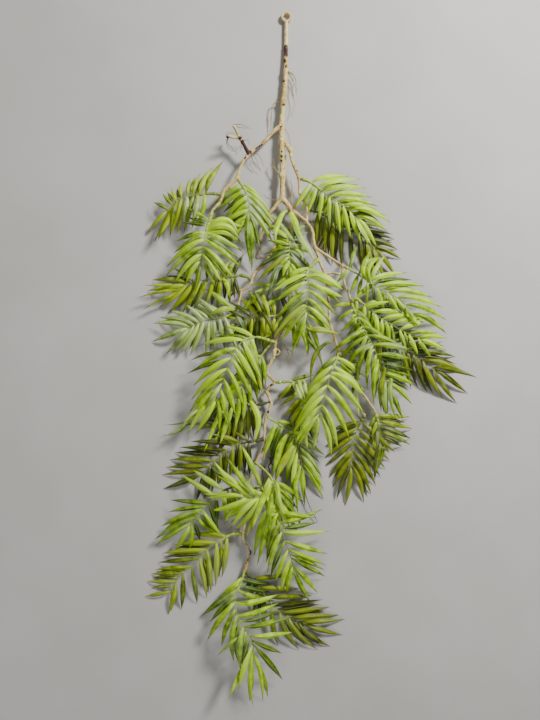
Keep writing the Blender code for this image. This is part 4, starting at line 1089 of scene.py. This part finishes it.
BARK_VOXEL = 0.0014
BARK_SMOOTHING = 9
BARK_WELD = 0.00001
BARK_THINNING = 4.0e-6
THINNEST_TWIG = 0.003
STOUT = 0.012
STOUTEST = 0.05
SLIMMING = 0.0012
INSIDE = 0.001
LUMPS = 0.0009
LUMP_SCALE = 70.0
GRAIN = 0.0005
GRAIN_SCALE = 260.0
GRAIN_ACROSS = 2.2
GRAIN_ALONG = 0.7
NUBS = 0.0022
NUB_SCALE = 150.0
NUB_LEVEL = 0.35
CHIP_SCALE = 330.0
CHIP_STEEPNESS = 2.2
CHIP_RAGGEDNESS = 1.6
CHIP_MARGIN = 0.1
HOLE_STEEPNESS = 1.6
HOLE_SPREAD = 2
HOLE_DARKNESS = 1.4
# Chips and holes: grid x, grid y and radius in grid steps, depth in mm
CHIPS = (
    (285.9, 49.5, 4.6, 0.8), (286.4, 54, 3.8, 0.9), (284.6, 61, 2.4, 0.6), (286, 66.5, 1.8, 0.6),
    (283.6, 81.5, 1.8, 0.5), (283.5, 105, 1.6, 0.4), (281, 127, 1.7, 0.4), (248.4, 152, 3.8, 0.2),
    (247.2, 150, 3.8, 0.2), (246, 148, 3.8, 0.2), (245, 146.2, 3.8, 0.2), (243.8, 144, 3.6, 0.2),
    (242.4, 141.8, 2.8, 0.3), (240.4, 138, 3.0, 0.3), (227, 137, 2.4, 0.4), (257, 148.2, 2.2, 0.4),
    (259.6, 146.8, 2.4, 0.5), (262, 145.4, 2.2, 0.5), (245, 157.5, 2.0, 0.4), (297, 171, 1.5, 0.4),
    (296.4, 166, 1.6, 0.4), (293, 182, 1.5, 0.4), (256.8, 243, 4.6, 0.9), (231, 293, 4.4, 0.8),
    (268, 455, 4.4, 0.8), (266, 470, 4.0, 0.9), (268.5, 478, 3.2, 0.6), (251, 552, 3.6, 0.9),
    (246.5, 560, 3.4, 0.6), (244, 575, 3.0, 0.5), (271, 385, 2.0, 0.4), (268, 412, 2.0, 0.4),
    (303, 215, 2.0, 0.4), (298, 240, 1.8, 0.4), (316, 256, 1.8, 0.4),
)
HOLES = (
    (281.6, 151.5, 1.3, 2.8), (281.4, 156.5, 1.7, 3.4), (281.2, 161, 1.3, 2.6),
)
# Knots, stout twigs and slim stretches: grid x, grid y and radius in grid steps, swelling in mm
KNOTS = (
    (285, 72, 4.0, 3.0), (283.6, 82, 3.4, 2.2), (283.6, 101, 4.4, 4.2), (281.4, 127, 4.4, 3.0),
    (281, 140, 3.6, 2.2), (281, 176, 4.4, 4.2), (282, 199, 4.6, 3.0), (290.5, 149.5, 4.6, 4.2),
    (297.6, 166, 3.4, 2.2), (299, 178, 3.6, 2.4), (248.2, 151.6, 5.4, 2.0),
    (246.4, 148.4, 5.2, 1.6), (244.6, 145, 5.2, 1.6), (242.8, 141.8, 4.8, 1.4),
    (241, 139, 4.4, 2.2), (237.5, 132, 3.4, 1.5), (234, 126, 3.0, 1.2), (232, 137, 3.4, 1.2),
    (227, 136.8, 2.6, 1.4), (238, 178, 4.0, 1.6), (269.4, 394, 4.2, 1.8), (271.4, 418, 4.2, 1.8),
    (273.6, 352, 4.2, 2.2), (315, 249, 3.8, 1.8), (322, 284, 3.6, 1.6), (271, 136, 11.0, -3.6),
    (260, 146, 10.0, -3.8), (247, 162, 9.0, -2.8), (242, 171, 9.0, -2.4),
)


def bark_piece():
    """The branch rounded off, lumpy, with its chips and holes."""
    rough = put("rough_bark", nodes["branch"].data.copy())
    rough.modifiers.new("weld", "WELD").merge_threshold = BARK_WELD
    remesh = rough.modifiers.new("remesh", "REMESH")
    remesh.mode = "VOXEL"
    remesh.voxel_size = BARK_VOXEL
    rough.modifiers.new("relax", "SMOOTH").iterations = BARK_SMOOTHING
    graph = bpy.context.evaluated_depsgraph_get()
    mesh = bpy.data.meshes.new_from_object(rough.evaluated_get(graph))
    bpy.data.objects.remove(rough)
    mesh.name = "bark"
    weather(mesh)
    mesh.materials.clear()
    mesh.materials.append(MATERIALS["bark"])
    mesh.shade_smooth()
    return put("bark", mesh)


def bark_swell(place, normal):
    """How far the bark stands out at a place: twigs filled out, lumps, grooves and nubs."""
    through = bark_tree.ray_cast(place - normal * INSIDE, -normal, STOUTEST)[3] or STOUT
    push = BARK_THINNING / max(through, THINNEST_TWIG) - SLIMMING * eased((through - STOUT) / STOUT)
    push += LUMPS * noise.noise(place * LUMP_SCALE)
    grain = Vector((place.x * GRAIN_ACROSS, place.y * GRAIN_ALONG, place.z * GRAIN_ACROSS))
    push += GRAIN * noise.noise(grain * GRAIN_SCALE)
    push += NUBS * max(noise.noise(place * NUB_SCALE) - NUB_LEVEL, 0)
    return push


def marked(place, normal, push):
    """The push with knots, chips and holes added, and how far the coat is knocked off."""
    seen = grid_of(place)
    mark = 0.0
    for x, y, radius, swell in KNOTS:
        push += swell / MM_PER_M * eased(1 - math.dist(seen, (x, y)) / radius)
    for x, y, radius, deep in CHIPS:
        near = 1 - math.dist(seen, (x, y)) / radius
        if near > 0:
            torn = CHIP_RAGGEDNESS * noise.noise(place * CHIP_SCALE)
            ragged = eased(near * CHIP_STEEPNESS + torn - CHIP_MARGIN)
            push -= deep / MM_PER_M * ragged
            mark = max(mark, ragged)
    for x, y, radius, deep in HOLES:
        near = 1 - math.dist(seen, (x, y)) / radius
        if near > 0 and normal.z > 0:
            push -= deep / MM_PER_M * eased(near * HOLE_STEEPNESS)
            mark = max(mark, HOLE_DARKNESS * eased(near * HOLE_SPREAD))
    return push, mark


def weather(mesh):
    """The bark pushed in and out along its normals, with its chips and holes painted."""
    marks = []
    moved = []
    for vertex in mesh.vertices:
        push, mark = marked(vertex.co, vertex.normal, bark_swell(vertex.co, vertex.normal))
        marks.append(mark)
        moved.append(vertex.co + vertex.normal * push)
    for vertex, place in zip(mesh.vertices, moved):
        vertex.co = (place.x, place.y, max(place.z, FLOOR_GAP))
    paint(mesh, "chip", marks)
    mesh.update()


# Rootlets, hairs and tape

ROOTLET_STEPS = 6
ROOTLET_SIDES = 6
ROOTLET_WANDER = 0.00044
ROOTLET_FIRM_POINTS = 2
ROOTLET_STOUTNESS = 1.5
ROOTLET_TAPER = 0.55
# Rootlets and hairs: height at the start and at the end and thickness in mm,
# darkness, then grid places along them
ROOTLETS = (
    (16, 12, 2.4, 0.15, (288, 71.5), (292.5, 74), (295.3, 79), (296, 85), (295.9, 92.6)),
    (16, 13, 2.0, 0.15, (288, 72.5), (291.4, 76), (293.4, 83), (292.6, 91.8), (294.3, 104.8),
     (291.3, 116.3)),
    (14, 10, 1.2, 0.3, (288, 73), (293, 82), (296.6, 90), (297, 97)),
    (16, 10, 2.2, 0.2, (281.4, 101.8), (276, 102.4), (273, 105.2), (271.4, 111), (271.7, 121),
     (270.1, 131.4)),
    (14, 8, 1.3, 0.3, (271.5, 112), (270.5, 119), (271, 127), (269.2, 133)),
    (20, 14, 1.6, 0.3, (285, 128.4), (288.6, 136), (290, 143.7), (291.6, 146)),
    (22, 12, 1.9, 0.3, (250.5, 154), (253.3, 162), (256.4, 168.1)),
    (22, 12, 1.7, 0.3, (256.4, 153), (260.2, 157.4), (264, 166.6)),
    (21, 10, 1.2, 0.4, (252, 153.5), (256.6, 160), (258, 166), (262, 171)),
    (24, 18, 2.4, 0.2, (279.8, 175), (273.2, 166.6), (270.9, 164.3)),
    (24, 20, 2.0, 0.2, (279.8, 176), (274.8, 168), (273.4, 159)),
    (28, 20, 2.2, 0.2, (279.8, 201.8), (267.8, 198), (263.3, 194.9)),
    (27, 30, 3.2, 0.3, (291.5, 204), (290.8, 196.5), (292.3, 188), (290.4, 180.4)),
    (28, 18, 2.0, 0.7, (265.6, 445.9), (269.5, 452), (267.2, 458.1)),
    (26, 12, 3.0, 1.0, (268, 456), (271.5, 461), (268.5, 467), (270, 471), (266, 474)),
    (26, 10, 2.6, 1.0, (266, 466), (262.5, 472), (263.5, 480), (261, 486), (262, 492)),
    (26, 12, 2.4, 1.0, (270, 463), (274, 466), (276, 472), (274.5, 478)),
    (24, 10, 2.0, 1.0, (259, 481), (262, 487), (258.5, 493), (260, 498)),
    (28, 22, 2.2, 0.35, (276, 352), (279.5, 350.5), (280.6, 354), (277.8, 356.4), (275.8, 353.6)),
    (30, 22, 1.8, 0.35, (284, 344), (288, 352), (290, 357), (287, 361), (285.4, 357.5), (288.5, 355)),
    (30, 24, 1.7, 0.4, (287, 349), (292, 352.4), (290.6, 358.4), (286.4, 357.2)),
    (24, 20, 1.3, 0.8, (233.4, 124.5), (241, 124.6), (248, 127.2)),
    (24, 22, 1.2, 0.8, (234, 126.2), (241, 127.6), (250.5, 128.2)),
    (22, 14, 1.4, 0.95, (229, 137), (227.4, 142), (231, 147), (233, 150)),
    (22, 12, 1.3, 0.95, (228, 137), (226.4, 143), (229.6, 149), (235, 152)),
    (22, 12, 1.3, 0.9, (239, 138), (241.5, 145), (240, 151.5)),
    (22, 12, 1.2, 0.9, (243, 141), (247.5, 140), (249.5, 145)),
    (30, 26, 1.7, 0.4, (313.5, 250), (319, 243), (322, 236)),
    (30, 24, 1.5, 0.4, (314, 250.5), (321, 247), (324, 241)),
    (30, 24, 1.5, 0.4, (314, 251.5), (319.5, 252), (325, 249)),
    (28, 8, 2.6, 0.75, (299, 447), (302, 470), (304, 488), (309, 505), (317, 521)),
    (26, 20, 2.4, 0.05, (229.6, 187), (230, 195), (228, 203)),
)


def rootlet_piece():
    generator = random.Random("rootlets")
    pile = Pile()
    for start, end, thick, dark, *places in ROOTLETS:
        last = len(places) - 1
        heights = [(start + (end - start) * i / last) / MM_PER_M for i in range(last + 1)]
        points = [on_grid(x, y, height) for (x, y), height in zip(places, heights)]
        curve = smooth(points, ROOTLET_STEPS)
        for point in curve[ROOTLET_FIRM_POINTS:]:
            point += Vector([generator.uniform(-1, 1) * ROOTLET_WANDER for _ in range(3)])
        count = len(curve) - 1
        stout = ROOTLET_STOUTNESS * thick / 2 / MM_PER_M
        radii = [stout * (1 - ROOTLET_TAPER * i / count) for i in range(count + 1)]
        vertices, faces, shares = tube_mesh(curve, radii, ROOTLET_SIDES)
        pile.add(vertices, faces, 0, along=shares, tint=dark)
    return pile.piece("rootlets", [MATERIALS["hair"]])


LEAST_TAPE = 0.022
TAPE_BEYOND = 0.045
TAPE_RADII = (0.0050, 0.0027)
TAPE_LUMP = 0.6
TAPE_LUMP_SCALE = 130
TAPE_TURN = 0.10
TAPE_TURN_PACE = 2.1
TAPE_ROW = 0.0018
TAPE_SIDES = 12
TAPE_STEPS = 4
TAPE_LENGTHS = (0.5, 1.0)
TAPE_STOUTNESS = (0.8, 1.1)
MOST_TAPE_SHARE = 0.6
TAPE_END = 0.9
# How dark the tape is, by frond
DARK_TAPES = {
    "frond_left_8": 0.9, "frond_left_9": 0.9, "frond_low_4": 0.9, "frond_left_10": 0.5,
    "frond_left_4": 0.5, "frond_left_1": 0.45, "frond_right_2": 0.8, "frond_right_8": 0.6,
}


def tape_piece():
    """The tape wound over each petiole and on along its rib, one lumpy sleeve to a frond."""
    pile = Pile()
    for node, (sections, blades, _) in sorted(fronds.items()):
        centres, thick = tape_sleeve(sections, blades, random.Random(node + " tape"))
        vertices, faces, shares = tube_mesh(centres, thick, TAPE_SIDES)
        turns = [share * (len(centres) - 1) for share in shares]
        pile.add(vertices, faces, 0, along=turns, tint=DARK_TAPES.get(node, 0.0))
    return pile.piece("tape_sleeves", [MATERIALS["tape"]])


def tape_sleeve(sections, blades, generator):
    """The middle line and the radii of one frond's tape, from the bark to its first leaflets."""
    middles, radii = stalk_of(sections)
    curve = smooth(middles, TAPE_STEPS)
    total = lengths(curve)
    first = min(nearest_distance(curve, total, blade.centres[0]) for blade in blades)
    reach = max(first + TAPE_BEYOND * generator.uniform(*TAPE_LENGTHS), LEAST_TAPE)
    rows = int(min(reach, total[-1] * MOST_TAPE_SHARE) / TAPE_ROW)
    centres = [value_at(curve, total, TAPE_ROW * i) for i in range(rows + 1)]
    root_inwards(centres)
    stout = generator.uniform(*TAPE_STOUTNESS)
    thick = []
    for i, centre in enumerate(centres):
        lump = 1 + TAPE_LUMP * noise.noise(centre * TAPE_LUMP_SCALE)
        lump += TAPE_TURN * math.sin(i * TAPE_TURN_PACE)
        thick.append(stout * part_way(TAPE_RADII, i / rows) * lump)
    thick[-1] = radii[0] * TAPE_END
    return centres, thick


def nearest_distance(curve, total, place):
    nearest = min(range(len(curve)), key=lambda i: (curve[i] - place).length)
    return total[nearest]


# Camera, floor and light

FAR = 20.0
FLOOR_HALF = 7.0
FLOOR_CELLS = 16
SKY_COLOUR = (0.95, 0.97, 1.0, 1.0)
SKY_LIGHT = 0.28
# Lights: name, place, the point that it faces, width and power
LIGHTS = (
    ("window", (1.9, 2.1, 2.1), (0, 0, 0), 0.7, 205.0),
    ("ceiling", (-1.4, -1.2, 2.6), (0, -0.2, 0), 1.8, 16.0),
)


def new_camera():
    data = bpy.data.cameras.new("camera")
    data.lens = LENS
    data.sensor_width = FILM_WIDTH
    data.clip_end = FAR
    camera = put("camera", data)
    camera.location = (GRID_ORIGIN.x, GRID_ORIGIN.y, SIGHT_HEIGHT)
    bpy.context.scene.camera = camera


def soft_light(name, place, target, width, power):
    data = bpy.data.lights.new(name, "AREA")
    data.shape = "DISK"
    data.size = width
    data.energy = power
    light = put(name, data)
    light.location = place
    light.rotation_euler = (Vector(target) - Vector(place)).to_track_quat("-Z", "Y").to_euler()


def lay_floor():
    side = FLOOR_CELLS + 1
    marks = [2 * FLOOR_HALF / FLOOR_CELLS * i - FLOOR_HALF for i in range(side)]
    vertices = [(x, y, 0.0) for y in marks for x in marks]
    firsts = [j * side + i for j in range(FLOOR_CELLS) for i in range(FLOOR_CELLS)]
    faces = [(k, k + 1, k + 1 + side, k + side) for k in firsts]
    floor = make_piece("floor", vertices, faces, floor_material(), rounded=False)


def light_scene():
    world = bpy.data.worlds.new("room")
    world.use_nodes = True
    background = world.node_tree.nodes["Background"]
    background.inputs["Color"].default_value = SKY_COLOUR
    background.inputs["Strength"].default_value = SKY_LIGHT
    bpy.context.scene.world = world
    for light in LIGHTS:
        soft_light(*light)


# Assembly

FROND_SLOTS = {row["node"]: row["material_slot"] for row in frame["record"]["subparts"]
               if row["node"].startswith("frond")}
ROOT_STEPS = 6

fronds = {node: read_frond(node) for node in FROND_SLOTS}
placed = [Shape(branch_corners, branch_faces)]
root_places = []
for sections, _, _ in fronds.values():
    root_places += smooth(stalk_of(sections)[0], ROOT_STEPS)
root_places += [v.co.copy() for v in nodes["branch"].data.vertices if v.normal.z > 0]
main_sheets = {node: sheets_of(node) for node in FROND_SLOTS}

for node, slot in FROND_SLOTS.items():
    piece = dress_frond(node, slot.split("_")[1])
    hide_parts(node)
    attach(piece, ROOT)

for tone in TONES:
    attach(loose_leaves(tone), ROOT)

bark = bark_piece()
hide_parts("branch")
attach(bark, ROOT)
for piece in (rootlet_piece(), tape_piece()):
    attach(piece, ROOT)

eye = nodes["hanging_eye"]
eye.data.materials.clear()
eye.data.materials.append(MATERIALS["eye"])

lay_floor()
light_scene()
new_camera()
